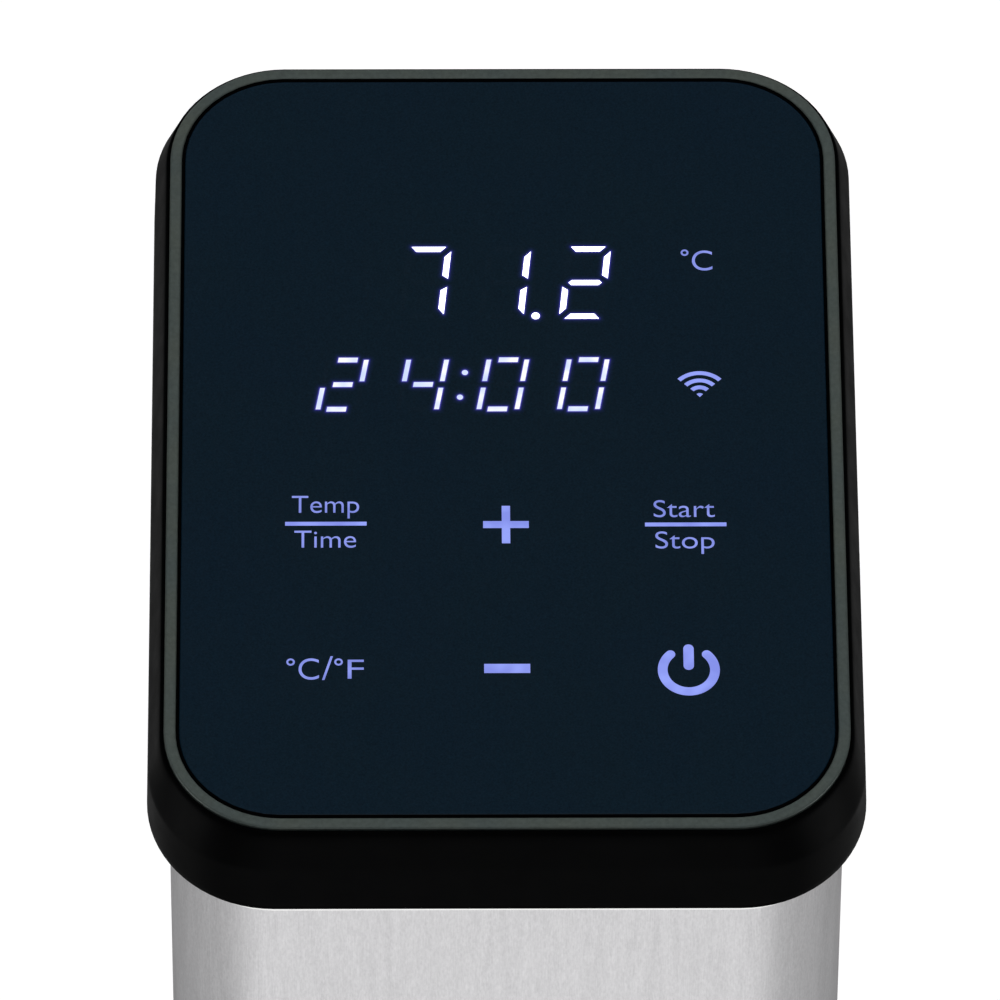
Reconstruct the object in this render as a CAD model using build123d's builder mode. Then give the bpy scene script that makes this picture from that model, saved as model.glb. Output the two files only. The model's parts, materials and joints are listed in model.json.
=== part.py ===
from build123d import *
from math import cos, radians, sin
import os

os.makedirs("parts", exist_ok=True)

# ---------------------------------------------------------------------------
# Driving dimensions, in millimetres. +Z is up and the front faces -Y. The
# origin is on the pump axis, at the underside of the bottom cap.
# ---------------------------------------------------------------------------
# control panel: a flat glass that slopes down towards the front
PANEL_TILT = 10.0
OPENING_W, OPENING_L, OPENING_R = 76.0, 106.0, 12.1
RIM_BAND = 1.4
RIM_HEIGHT = 2.4
GLASS_GAP = 0.35
GLASS_T = 1.8
GLASS_SET_BACK = 0.12
GASKET_T = 0.6

# head cap: a chamfer from the rim to a crease, then a nearly upright band
HEAD_Y = 8.0
CREASE_Z = 345.0
CREASE_DEPTH = 6.0
CREASE_W, CREASE_L, CREASE_R = 82.5, 112.5, 13.8
CAP_BAND_DEPTH = 6.0
CAP_W, CAP_L, CAP_R = 83.0, 113.1, 14.8
CAP_LEDGE_DEPTH = 6.6

# brushed steel housing of the head
BODY_W, BODY_D, BODY_R = 77.9, 106.0, 12.2
BODY_T = 1.0
BODY_Z0 = 190.0
BODY_TOP_DEPTH = 7.0

# lower housing: tray under the head, with a collar for the immersion sleeve
TRAY_Z0 = 172.0
FLOOR_T = 4.0
SPIGOT_TOP = 197.0
COLLAR_Z0 = 150.0
COLLAR_WALL = 3.0

# immersion end
IMM_W, IMM_D, IMM_R = 62.0, 76.0, 18.0
SLEEVE_T = 0.8
SLEEVE_Z0 = 14.0
SPIGOT_FIT = 0.2
CAP_FLOOR_T = 2.5
BULKHEAD_Z0, BULKHEAD_Z1 = 156.0, 170.0

# pump and motor, all on the Z axis
SHAFT_R = 2.5
RUNNING = 0.05
MOTOR_R, MOTOR_Z0, MOTOR_Z1 = 18.5, 212.0, 262.0
IMPELLER_R, IMPELLER_Z0, IMPELLER_Z1 = 18.0, 27.0, 40.0
PUMP_PLATE_Z, PUMP_PLATE_T = 44.0, 4.0
VOLUTE_R, VOLUTE_WALL, VOLUTE_Z0 = 23.0, 2.0, 24.0

# heater: six upright legs on a circle, joined by half-round bends
HEATER_R, HEATER_CIRCLE = 3.25, 19.0
HEATER_LOW, HEATER_HIGH = 72.0, 132.0
HEATER_TOP = 184.0

# pot clamp behind the immersion end
CLAMP_W = 34.0
ARM_Y0, ARM_Y1 = 70.0, 78.0
ARM_Z0 = 104.0
CLAMP_SCREW_Z = 122.0
CLAMP_SCREW_R = 4.0
PAD_R, PAD_Y, PAD_T, FACING_T = 13.0, 56.0, 4.5, 3.0
KNOB_R, KNOB_Y, KNOB_L = 17.0, 96.0, 18.0

# rear of the head: cable gland below, fan and vent above
REAR_Y = HEAD_Y + BODY_D / 2
GLAND_Z, GLAND_BORE_R, GLAND_HOLE_R = 214.0, 3.6, 8.1
VENT_Z, VENT_W, VENT_H = 301.0, 38.0, 34.0
FAN_SIZE, FAN_DEPTH, FAN_Y0 = 40.0, 10.0, 46.6
BOARD_Y, BOARD_T = 34.0, 1.6
BOARD_W, BOARD_H, BOARD_MID_Z = 62.0, 112.0, 265.0

# ---------------------------------------------------------------------------
# Planes of the sloping head
# ---------------------------------------------------------------------------
TILT = radians(PANEL_TILT)
PANEL_NORMAL = Vector(0, -sin(TILT), cos(TILT))
CREASE_CENTRE = Vector(0, HEAD_Y, CREASE_Z)
PANEL_CENTRE = CREASE_CENTRE + PANEL_NORMAL * CREASE_DEPTH
UP = (0, 0, 1)


def panel_plane(depth):
    """Plane parallel to the glass, this far below the top of the rim."""
    return Plane(PANEL_CENTRE - PANEL_NORMAL * depth, x_dir=(1, 0, 0), z_dir=PANEL_NORMAL)


def head_plane(depth):
    """The same plane, but with its centre on the upright axis of the housing."""
    drop = (depth - CREASE_DEPTH) / cos(TILT)
    return Plane(CREASE_CENTRE - Vector(0, 0, drop), x_dir=(1, 0, 0), z_dir=PANEL_NORMAL)


def level(z):
    """Horizontal plane at a height, centred on the pump axis."""
    return Plane.XY.offset(z)


def head_level(z):
    """Horizontal plane at a height, centred on the head."""
    return Plane((0, HEAD_Y, z))


def facing_rear(x, y, z):
    """Upright plane that looks towards the rear, with its own X along -X."""
    return Plane((x, y, z), x_dir=(-1, 0, 0), z_dir=(0, 1, 0))


def facing_side(y, z):
    """Upright plane through the axis that looks along +X, with its own X along +Y."""
    return Plane((0, y, z), x_dir=(0, 1, 0), z_dir=(1, 0, 0))


def ring(width, depth, radius, wall):
    """Rounded rectangular ring in the open sketch."""
    RectangleRounded(width, depth, radius)
    RectangleRounded(width - 2 * wall, depth - 2 * wall, radius - wall, mode=Mode.SUBTRACT)


def washer(outer, inner):
    """Round ring in the open sketch."""
    Circle(outer)
    Circle(inner, mode=Mode.SUBTRACT)


def add_screws(plane, points, head_r, head_h, shank_r, shank_l):
    """Socket-head screws in the open part: heads below the plane, shanks above it."""
    with BuildSketch(plane) as shanks:
        with Locations(*points):
            Circle(shank_r)
    with BuildSketch(plane) as heads:
        with Locations(*points):
            Circle(head_r)
    with BuildSketch(plane.offset(-head_h)) as sockets:
        with Locations(*points):
            RegularPolygon(head_r * 0.5, 6)
    extrude(shanks.sketch, amount=shank_l)
    extrude(heads.sketch, amount=-head_h)
    extrude(sockets.sketch, amount=head_h * 0.55, mode=Mode.SUBTRACT)


def corners(x, y):
    """The four corners of a rectangle centred on the origin."""
    return [(-x, -y), (x, -y), (x, y), (-x, y)]


# ---------------------------------------------------------------------------
# Head cap, rim and glass
# ---------------------------------------------------------------------------
GLASS_W = OPENING_W - 2 * GLASS_GAP
GLASS_L = OPENING_L - 2 * GLASS_GAP
GLASS_R = OPENING_R - GLASS_GAP
GLASS_BACK = GLASS_SET_BACK + GLASS_T
SEAT_DEPTH = GLASS_BACK + GASKET_T
RIM_W = OPENING_W + 2 * RIM_BAND
RIM_L = OPENING_L + 2 * RIM_BAND
RIM_R = OPENING_R + RIM_BAND
RIM_FIT = 0.1
CAP_LIP = 0.35
CAP_TOP_DEPTH = 0.5
WINDOW_W, WINDOW_L, WINDOW_R = 66.0, 94.0, 8.0
SEAT_CLEAR = 0.25
BOSS_X, BOSS_Y, BOSS_R = 32.6, 30.0, 3.2
BOSS_DEPTH = 14.0
BOARD_SCREW_X, BOARD_SCREW_Y, BOARD_SCREW_R = 32.5, 46.5, 1.2
CAP_SCREW_R = 1.5

with BuildPart() as top_cap:
    with BuildSketch(panel_plane(CREASE_DEPTH)):
        RectangleRounded(CREASE_W, CREASE_L, CREASE_R)
    with BuildSketch(panel_plane(CAP_TOP_DEPTH)):
        RectangleRounded(RIM_W + 2 * CAP_LIP, RIM_L + 2 * CAP_LIP, RIM_R + CAP_LIP)
    loft()
    with BuildSketch(head_plane(CREASE_DEPTH)):
        RectangleRounded(CREASE_W, CREASE_L, CREASE_R)
    with BuildSketch(head_plane(CREASE_DEPTH + CAP_BAND_DEPTH)):
        RectangleRounded(CAP_W, CAP_L, CAP_R)
    loft()
    # rebate for the rim and seat for the glass
    with BuildSketch(panel_plane(RIM_HEIGHT)):
        RectangleRounded(RIM_W + 2 * RIM_FIT, RIM_L + 2 * RIM_FIT, RIM_R + RIM_FIT)
    extrude(amount=RIM_HEIGHT, mode=Mode.SUBTRACT)
    with BuildSketch(panel_plane(SEAT_DEPTH)):
        RectangleRounded(OPENING_W - 0.4, OPENING_L - 0.4, OPENING_R - 0.2)
    extrude(amount=SEAT_DEPTH, mode=Mode.SUBTRACT)
    with BuildSketch(panel_plane(CAP_LEDGE_DEPTH)):
        RectangleRounded(WINDOW_W, WINDOW_L, WINDOW_R)
    extrude(amount=CAP_LEDGE_DEPTH, mode=Mode.SUBTRACT)
    # socket for the steel housing
    with BuildSketch(head_plane(CREASE_DEPTH + CAP_BAND_DEPTH)):
        RectangleRounded(
            BODY_W + 2 * SEAT_CLEAR, BODY_D / cos(TILT) + 2 * SEAT_CLEAR, BODY_R + SEAT_CLEAR
        )
    extrude(
        amount=(CREASE_DEPTH + CAP_BAND_DEPTH - CAP_LEDGE_DEPTH) / cos(TILT),
        dir=UP,
        mode=Mode.SUBTRACT,
    )
    # screw bosses under the ledge
    with BuildSketch(panel_plane(BOSS_DEPTH)):
        with GridLocations(2 * BOSS_X, 2 * BOSS_Y, 2, 2):
            Circle(BOSS_R)
    extrude(amount=BOSS_DEPTH - CAP_LEDGE_DEPTH)
    with BuildSketch(panel_plane(BOSS_DEPTH)):
        with GridLocations(2 * BOSS_X, 2 * BOSS_Y, 2, 2):
            Circle(CAP_SCREW_R + 0.02)
    extrude(amount=7.5, mode=Mode.SUBTRACT)

    # blind holes for the touch board's screws
    with BuildSketch(panel_plane(CAP_LEDGE_DEPTH)):
        with GridLocations(2 * BOARD_SCREW_X, 2 * BOARD_SCREW_Y, 2, 2):
            Circle(BOARD_SCREW_R + 0.02)
    extrude(amount=2.6, mode=Mode.SUBTRACT)

with BuildPart() as glass_rim:
    with BuildSketch(panel_plane(RIM_HEIGHT)):
        ring(RIM_W, RIM_L, RIM_R, RIM_BAND)
    extrude(amount=RIM_HEIGHT)
    rim_top = glass_rim.faces().sort_by(Axis((0, 0, 0), PANEL_NORMAL))[-1]
    fillet(rim_top.edges(), radius=0.3)

with BuildPart() as glass_panel:
    with BuildSketch(panel_plane(GLASS_BACK)):
        RectangleRounded(GLASS_W, GLASS_L, GLASS_R)
    extrude(amount=GLASS_T)
    glass_top = glass_panel.faces().sort_by(Axis((0, 0, 0), PANEL_NORMAL))[-1]
    fillet(glass_top.edges(), radius=0.25)

with BuildPart() as glass_gasket:
    with BuildSketch(panel_plane(SEAT_DEPTH)):
        RectangleRounded(GLASS_W - 0.6, GLASS_L - 0.6, GLASS_R - 0.3)
        RectangleRounded(WINDOW_W + 1, WINDOW_L + 1, WINDOW_R, mode=Mode.SUBTRACT)
    extrude(amount=GASKET_T)

# ---------------------------------------------------------------------------
# Boards under the glass
# ---------------------------------------------------------------------------
KEY_PITCH_X, KEY_ROW_1, KEY_ROW_2 = 21.0, -12.2, -32.5
KEY_WELL = 12.0
DIGITS_X, DIGITS_Y, DIGITS_W, DIGITS_L = -4.5, 16.0, 42.0, 30.0
ICON_X, ICON_Y, ICON_WELL = 22.8, 17.5, 9.0
GUIDE_DEPTH = SEAT_DEPTH + 0.2
BOARD_DEPTH = CAP_LEDGE_DEPTH
TOUCH_W, TOUCH_L, TOUCH_T = 72.0, 100.0, 1.2

with BuildPart() as key_light_guide:
    with BuildSketch(panel_plane(BOARD_DEPTH)):
        RectangleRounded(WINDOW_W - 0.6, WINDOW_L - 0.6, WINDOW_R - 0.3)
        with Locations((DIGITS_X, DIGITS_Y)):
            Rectangle(DIGITS_W + 0.6, DIGITS_L + 0.6, mode=Mode.SUBTRACT)
        with Locations((0, KEY_ROW_1), (0, KEY_ROW_2)):
            with GridLocations(KEY_PITCH_X, 1, 3, 1):
                Rectangle(KEY_WELL, KEY_WELL, mode=Mode.SUBTRACT)
        with Locations((ICON_X, ICON_Y)):
            with GridLocations(1, 19, 1, 2):
                Rectangle(ICON_WELL, ICON_WELL, mode=Mode.SUBTRACT)
    extrude(amount=BOARD_DEPTH - GUIDE_DEPTH)

with BuildPart() as display_module:
    with BuildSketch(panel_plane(BOARD_DEPTH)):
        with Locations((DIGITS_X, DIGITS_Y)):
            Rectangle(DIGITS_W, DIGITS_L)
    extrude(amount=BOARD_DEPTH - GUIDE_DEPTH)
    digit_face = display_module.faces().sort_by(Axis((0, 0, 0), PANEL_NORMAL))[-1]
    chamfer(digit_face.edges(), length=0.5)

with BuildPart() as touch_board:
    with BuildSketch(panel_plane(BOARD_DEPTH + TOUCH_T)):
        RectangleRounded(TOUCH_W, TOUCH_L, WINDOW_R)
        with GridLocations(2 * BOSS_X, 2 * BOSS_Y, 2, 2):
            Circle(BOSS_R + 0.5, mode=Mode.SUBTRACT)
            with Locations((0, 0)):
                Rectangle(2 * BOSS_R + 1, 2 * BOSS_R + 1, mode=Mode.SUBTRACT)
        with GridLocations(2 * BOARD_SCREW_X, 2 * BOARD_SCREW_Y, 2, 2):
            Circle(1.3, mode=Mode.SUBTRACT)
    extrude(amount=TOUCH_T)

with BuildPart() as wireless_module:
    with BuildSketch(panel_plane(BOARD_DEPTH + TOUCH_T)):
        with Locations((20, 12)):
            Rectangle(18, 24)
    extrude(amount=-0.8)
    with BuildSketch(panel_plane(BOARD_DEPTH + TOUCH_T + 0.8)):
        with Locations((20, 9)):
            Rectangle(15, 16)
    extrude(amount=-2.2)

with BuildPart() as buzzer:
    with BuildSketch(panel_plane(BOARD_DEPTH + TOUCH_T)):
        with Locations((-20, -10)):
            Circle(6)
    extrude(amount=-5.5)
    with BuildSketch(panel_plane(BOARD_DEPTH + TOUCH_T + 5.5)):
        with Locations((-20, -10)):
            Circle(1)
    extrude(amount=1.5, mode=Mode.SUBTRACT)

# ---------------------------------------------------------------------------
# Steel housing, trim ring and inner frame
# ---------------------------------------------------------------------------
FRAME_GAP, FRAME_T = 1.0, 2.4
FRAME_W = BODY_W - 2 * (BODY_T + FRAME_GAP)
FRAME_D = BODY_D - 2 * (BODY_T + FRAME_GAP)
FRAME_R = BODY_R - BODY_T - FRAME_GAP
FRAME_FLANGE = 2.5
TRIM_H, TRIM_PROUD = 2.6, 0.45
HEAD_RISE = 175.0
FRAME_SCREW_X, FRAME_SCREW_Y, FRAME_BOSS_R = 30.0, 44.0, 5.0
SIDE_WINDOW_W, SIDE_WINDOW_PITCH, FRONT_WINDOW_W = 31.0, 38.0, 44.0
WINDOW_Z0, WINDOW_Z1 = 216.0, 308.0
WINDOW_MID_Z = (WINDOW_Z0 + WINDOW_Z1) / 2

with BuildPart() as body_sleeve:
    with BuildSketch(head_level(BODY_Z0)):
        ring(BODY_W, BODY_D, BODY_R, BODY_T)
    extrude(amount=HEAD_RISE)
    split(bisect_by=head_plane(BODY_TOP_DEPTH), keep=Keep.BOTTOM)
    # rear vent window and the hole for the cable gland
    with BuildSketch(facing_rear(0, REAR_Y - 5, VENT_Z)):
        RectangleRounded(VENT_W, VENT_H, 4)
    extrude(amount=10, mode=Mode.SUBTRACT)
    with BuildSketch(facing_rear(0, REAR_Y - 5, GLAND_Z)):
        Circle(GLAND_HOLE_R)
    extrude(amount=10, mode=Mode.SUBTRACT)

with BuildPart() as trim_ring:
    with BuildSketch(head_plane(CREASE_DEPTH + CAP_BAND_DEPTH + TRIM_H + 0.05)):
        RectangleRounded(
            BODY_W + 2 * TRIM_PROUD, BODY_D / cos(TILT) + 2 * TRIM_PROUD, BODY_R + TRIM_PROUD
        )
    extrude(amount=TRIM_H, dir=PANEL_NORMAL)
    with BuildSketch(head_level(BODY_Z0)):
        RectangleRounded(BODY_W + 0.04, BODY_D + 0.04, BODY_R + 0.02)
    extrude(amount=HEAD_RISE + 20, mode=Mode.SUBTRACT)

with BuildPart() as inner_frame:
    with BuildSketch(head_level(SPIGOT_TOP)):
        ring(FRAME_W, FRAME_D, FRAME_R, FRAME_T)
    extrude(amount=HEAD_RISE)
    split(bisect_by=panel_plane(BOSS_DEPTH), keep=Keep.BOTTOM)
    # top flange under the cap bosses
    with BuildSketch(panel_plane(BOSS_DEPTH + FRAME_FLANGE)):
        ring(FRAME_W - 1.2, FRAME_D / cos(TILT) - 3.2, FRAME_R, 7.5)
    extrude(amount=FRAME_FLANGE)
    with BuildSketch(panel_plane(BOSS_DEPTH + FRAME_FLANGE)):
        with GridLocations(2 * BOSS_X, 2 * BOSS_Y, 2, 2):
            Circle(CAP_SCREW_R + 0.2)
    extrude(amount=FRAME_FLANGE, mode=Mode.SUBTRACT)
    with BuildSketch(panel_plane(BOSS_DEPTH + FRAME_FLANGE)):
        with GridLocations(2 * BOSS_X, 2 * BOSS_Y, 2, 2):
            Circle(3.2)
    extrude(amount=-3.5, mode=Mode.SUBTRACT)
    # foot bosses for the screws that come up through the tray
    with BuildSketch(head_level(SPIGOT_TOP)):
        with GridLocations(2 * FRAME_SCREW_X, 2 * FRAME_SCREW_Y, 2, 2):
            Circle(FRAME_BOSS_R)
    extrude(amount=14)
    with BuildSketch(head_level(SPIGOT_TOP)):
        with GridLocations(2 * FRAME_SCREW_X, 2 * FRAME_SCREW_Y, 2, 2):
            Circle(2.0)
    extrude(amount=12, mode=Mode.SUBTRACT)
    # side and front windows
    with BuildSketch(facing_side(HEAD_Y, WINDOW_MID_Z)):
        with GridLocations(SIDE_WINDOW_PITCH, 1, 2, 1):
            RectangleRounded(SIDE_WINDOW_W, WINDOW_Z1 - WINDOW_Z0, 4)
    extrude(amount=60, both=True, mode=Mode.SUBTRACT)
    with BuildSketch(facing_rear(0, HEAD_Y - 30, WINDOW_MID_Z)):
        RectangleRounded(FRONT_WINDOW_W, WINDOW_Z1 - WINDOW_Z0, 4)
    extrude(amount=-40, mode=Mode.SUBTRACT)
    # pillars for the power board
    with BuildSketch(facing_rear(0, BOARD_Y + BOARD_T, BOARD_MID_Z)):
        with GridLocations(BOARD_W - 8, BOARD_H - 8, 2, 2):
            Circle(3)
    extrude(amount=HEAD_Y + FRAME_D / 2 - FRAME_T / 2 - BOARD_Y - BOARD_T)
    # rear openings for the fan and the gland nut
    with BuildSketch(facing_rear(0, HEAD_Y + 30, VENT_Z)):
        Rectangle(VENT_W + 9, VENT_H + 9)
    extrude(amount=40, mode=Mode.SUBTRACT)
    with BuildSketch(facing_rear(0, HEAD_Y + 30, GLAND_Z + 2)):
        RectangleRounded(34, 26, 3)
    extrude(amount=40, mode=Mode.SUBTRACT)

# ---------------------------------------------------------------------------
# Lower housing: tray, collar and bulkhead
# ---------------------------------------------------------------------------
COLLAR_W = IMM_W - 2 * (SLEEVE_T + SPIGOT_FIT)
COLLAR_D = IMM_D - 2 * (SLEEVE_T + SPIGOT_FIT)
COLLAR_R = IMM_R - SLEEVE_T - SPIGOT_FIT
SEAL_Z = 158.0
SEAL_H = 2.4
SPIGOT_WALL = 3.0
TRAY_SKIRT_CHAMFER = 4.0
TRAY_HOLE_W, TRAY_HOLE_D, TRAY_HOLE_R = 44.0, 58.0, 16.0
TRAY_SCREWS = [(x, HEAD_Y + y) for x, y in corners(FRAME_SCREW_X, FRAME_SCREW_Y)]
FLOOR_Z1 = TRAY_Z0 + FLOOR_T
BULKHEAD_W = COLLAR_W - 2 * COLLAR_WALL - 0.4
BULKHEAD_D = COLLAR_D - 2 * COLLAR_WALL - 0.4
BULKHEAD_R = COLLAR_R - COLLAR_WALL - 0.2
LEG_X = HEATER_CIRCLE * cos(radians(60))
LEG_Y = HEATER_CIRCLE * sin(radians(60))
PROBE_Y, PROBE_R, PROBE_Z0, PROBE_L = -25.5, 2.0, 86.0, 94.0
ROD_X, ROD_Y, ROD_R, ROD_Z0, ROD_L = 9.0, 25.5, 1.5, 104.0, 78.0
STAYS = [(-21.0, -20.0), (21.0, -20.0), (0.0, 29.5)]
STAY_R = 2.5
BULKHEAD_SCREWS = [(x, y) for x in (-19.5, 19.5) for y in (-26.5, 26.5)]
BEARING_R, BEARING_H = 8.0, 5.0
LIP_SEAL_H = 6.0
CLAMP_SCREWS = [(x, y) for x in (-11, 11) for y in (46, 55)]

with BuildPart() as lower_housing:
    with BuildSketch(head_level(TRAY_Z0)):
        RectangleRounded(BODY_W, BODY_D, BODY_R)
    extrude(amount=BODY_Z0 - TRAY_Z0)
    chamfer(lower_housing.faces().sort_by(Axis.Z)[0].edges(), length=TRAY_SKIRT_CHAMFER)
    with BuildSketch(head_level(BODY_Z0)):
        inset = 2 * (BODY_T + 0.15)
        RectangleRounded(BODY_W - inset, BODY_D - inset, BODY_R - inset / 2)
    extrude(amount=SPIGOT_TOP - BODY_Z0)
    with BuildSketch(head_level(FLOOR_Z1)):
        inset = 2 * (BODY_T + 0.15 + SPIGOT_WALL)
        RectangleRounded(BODY_W - inset, BODY_D - inset, BODY_R - inset / 2)
    extrude(amount=SPIGOT_TOP - FLOOR_Z1, mode=Mode.SUBTRACT)
    # posts that carry the inner frame
    with BuildSketch(level(FLOOR_Z1)):
        with Locations(*TRAY_SCREWS):
            Circle(FRAME_BOSS_R)
    extrude(amount=SPIGOT_TOP - FLOOR_Z1)
    # collar for the immersion sleeve, with a groove for its ring
    with BuildSketch(level(COLLAR_Z0)):
        ring(COLLAR_W, COLLAR_D, COLLAR_R, COLLAR_WALL)
    extrude(amount=TRAY_Z0 - COLLAR_Z0)
    with BuildSketch(level(SEAL_Z)):
        RectangleRounded(COLLAR_W + 2, COLLAR_D + 2, COLLAR_R + 1)
        RectangleRounded(COLLAR_W - 3, COLLAR_D - 3, COLLAR_R - 1.5, mode=Mode.SUBTRACT)
    extrude(amount=SEAL_H, mode=Mode.SUBTRACT)
    # room for the bulkhead, and the opening above it
    with BuildSketch(level(BULKHEAD_Z1)):
        RectangleRounded(TRAY_HOLE_W, TRAY_HOLE_D, TRAY_HOLE_R)
    extrude(amount=FLOOR_Z1 - BULKHEAD_Z1, mode=Mode.SUBTRACT)
    with BuildSketch(level(FLOOR_Z1)):
        with Locations(*BULKHEAD_SCREWS):
            Circle(1.3)
    extrude(amount=-5, mode=Mode.SUBTRACT)
    with BuildSketch(level(TRAY_Z0)):
        with Locations(*TRAY_SCREWS):
            Circle(2.2)
    extrude(amount=SPIGOT_TOP - TRAY_Z0, mode=Mode.SUBTRACT)
    with BuildSketch(level(TRAY_Z0)):
        with Locations(*TRAY_SCREWS):
            Circle(4.2)
    extrude(amount=4.4, mode=Mode.SUBTRACT)
    with BuildSketch(level(TRAY_Z0)):
        with Locations(*CLAMP_SCREWS):
            Circle(1.75)
    extrude(amount=10, mode=Mode.SUBTRACT)

with BuildPart() as bulkhead:
    with BuildSketch(level(BULKHEAD_Z0)):
        RectangleRounded(BULKHEAD_W, BULKHEAD_D, BULKHEAD_R)
    extrude(amount=BULKHEAD_Z1 - BULKHEAD_Z0)
    with BuildSketch(level(BULKHEAD_Z0 + 8)):
        ring(BULKHEAD_W, BULKHEAD_D, BULKHEAD_R, 1.8)
    extrude(amount=2.6, mode=Mode.SUBTRACT)
    with BuildSketch(level(BULKHEAD_Z0)):
        Circle(SHAFT_R + 0.6)
        with Locations((-LEG_X, LEG_Y), (LEG_X, LEG_Y)):
            Circle(HEATER_R + 0.05)
        with Locations((0, PROBE_Y)):
            Circle(PROBE_R + 0.05)
        with Locations((-ROD_X, ROD_Y), (ROD_X, ROD_Y)):
            Circle(ROD_R + 0.05)
        with Locations(*BULKHEAD_SCREWS):
            Circle(1.7)
    extrude(amount=BULKHEAD_Z1 - BULKHEAD_Z0, mode=Mode.SUBTRACT)
    with BuildSketch(level(BULKHEAD_Z0)):
        Circle(BEARING_R + 0.02)
    extrude(amount=LIP_SEAL_H, mode=Mode.SUBTRACT)
    with BuildSketch(level(BULKHEAD_Z1)):
        Circle(BEARING_R + 0.02)
    extrude(amount=-BEARING_H, mode=Mode.SUBTRACT)
    with BuildSketch(level(BULKHEAD_Z0)):
        with Locations(*STAYS):
            Circle(STAY_R + 0.02)
    extrude(amount=6.1, mode=Mode.SUBTRACT)

with BuildPart() as housing_seals:
    with BuildSketch(level(SEAL_Z + 0.1)):
        ring(COLLAR_W + 0.3, COLLAR_D + 0.3, COLLAR_R + 0.15, 1.6)
    extrude(amount=SEAL_H - 0.2)
    with BuildSketch(level(BULKHEAD_Z0 + 8.1)):
        ring(BULKHEAD_W + 0.3, BULKHEAD_D + 0.3, BULKHEAD_R + 0.15, 1.8)
    extrude(amount=2.4)

# ---------------------------------------------------------------------------
# Immersion sleeve and bottom cap
# ---------------------------------------------------------------------------
SLOT_W = 3.0
INTAKE_Z, INTAKE_H = 104.0, 44.0
OUTLET_Z, OUTLET_W = 35.0, 24.0
INTAKE_PITCH, OUTLET_PITCH = 6.5, 5.5
FRONT_SLOTS, SIDE_SLOTS, OUTLET_SLOTS = 4, 6, 3
CAP_INLETS, CAP_INLET_R, CAP_INLET_L = 12, 17.0, 13.0

with BuildPart() as immersion_sleeve:
    with BuildSketch(level(SLEEVE_Z0)):
        ring(IMM_W, IMM_D, IMM_R, SLEEVE_T)
    extrude(amount=TRAY_Z0 - SLEEVE_Z0 - 0.1)
    # upright intake slots in the front and in both sides
    with BuildSketch(facing_rear(0, -IMM_D / 2 + 3, INTAKE_Z)):
        with GridLocations(INTAKE_PITCH, 1, FRONT_SLOTS, 1):
            SlotOverall(INTAKE_H, SLOT_W, rotation=90)
    extrude(amount=-8, mode=Mode.SUBTRACT)
    with BuildSketch(facing_side(0, INTAKE_Z)):
        with GridLocations(INTAKE_PITCH, 1, SIDE_SLOTS, 1):
            SlotOverall(INTAKE_H, SLOT_W, rotation=90)
    extrude(amount=IMM_W, both=True, mode=Mode.SUBTRACT)
    # level outlet slots low in the front
    with BuildSketch(facing_rear(0, -IMM_D / 2 + 3, OUTLET_Z)):
        with GridLocations(1, OUTLET_PITCH, 1, OUTLET_SLOTS):
            SlotOverall(OUTLET_W, SLOT_W)
    extrude(amount=-8, mode=Mode.SUBTRACT)

with BuildPart() as bottom_cap:
    with BuildSketch(level(0)):
        RectangleRounded(IMM_W, IMM_D, IMM_R)
    extrude(amount=SLEEVE_Z0 - 0.1)
    chamfer(bottom_cap.faces().sort_by(Axis.Z)[0].edges(), length=2.0)
    with BuildSketch(level(SLEEVE_Z0 - 0.1)):
        RectangleRounded(COLLAR_W, COLLAR_D, COLLAR_R)
    extrude(amount=8)
    with BuildSketch(level(CAP_FLOOR_T)):
        RectangleRounded(COLLAR_W - 5, COLLAR_D - 5, COLLAR_R - 2.5)
    extrude(amount=SLEEVE_Z0 + 8, mode=Mode.SUBTRACT)
    with BuildSketch(level(0)):
        with PolarLocations(CAP_INLET_R, CAP_INLETS):
            SlotOverall(CAP_INLET_L, SLOT_W)
    extrude(amount=CAP_FLOOR_T, mode=Mode.SUBTRACT)

# ---------------------------------------------------------------------------
# Heater, probe and level rods
# ---------------------------------------------------------------------------
leg_angles = [60, 0, -60, -120, 180, 120]
leg_points = [
    (HEATER_CIRCLE * cos(radians(a)), HEATER_CIRCLE * sin(radians(a))) for a in leg_angles
]
bend_r = HEATER_CIRCLE * sin(radians(30))

with BuildPart() as heater_element:
    with BuildLine():
        for i, (x, y) in enumerate(leg_points):
            first, last = i == 0, i == len(leg_points) - 1
            z_in = HEATER_TOP if first else HEATER_HIGH if i % 2 == 0 else HEATER_LOW
            z_out = HEATER_TOP if last else HEATER_LOW if i % 2 == 0 else HEATER_HIGH
            Line((x, y, z_in), (x, y, z_out))
            if not last:
                x2, y2 = leg_points[i + 1]
                tip = z_out - bend_r if i % 2 == 0 else z_out + bend_r
                ThreePointArc((x, y, z_out), ((x + x2) / 2, (y + y2) / 2, tip), (x2, y2, z_out))
    with BuildSketch(Plane((leg_points[0][0], leg_points[0][1], HEATER_TOP), z_dir=(0, 0, -1))):
        Circle(HEATER_R)
    sweep()

with BuildPart() as heater_nuts:
    with BuildSketch(level(BULKHEAD_Z1)):
        with Locations((-LEG_X, LEG_Y), (LEG_X, LEG_Y)):
            RegularPolygon(5.2, 6)
            Circle(HEATER_R + 0.02, mode=Mode.SUBTRACT)
    extrude(amount=5)

with BuildPart() as temp_probe:
    with BuildSketch(level(PROBE_Z0)):
        with Locations((0, PROBE_Y)):
            Circle(PROBE_R)
    extrude(amount=PROBE_L)
    fillet(temp_probe.faces().sort_by(Axis.Z)[0].edges(), radius=1.9)
    with BuildSketch(level(BULKHEAD_Z1)):
        with Locations((0, PROBE_Y)):
            Circle(3.2)
    extrude(amount=3)

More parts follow.
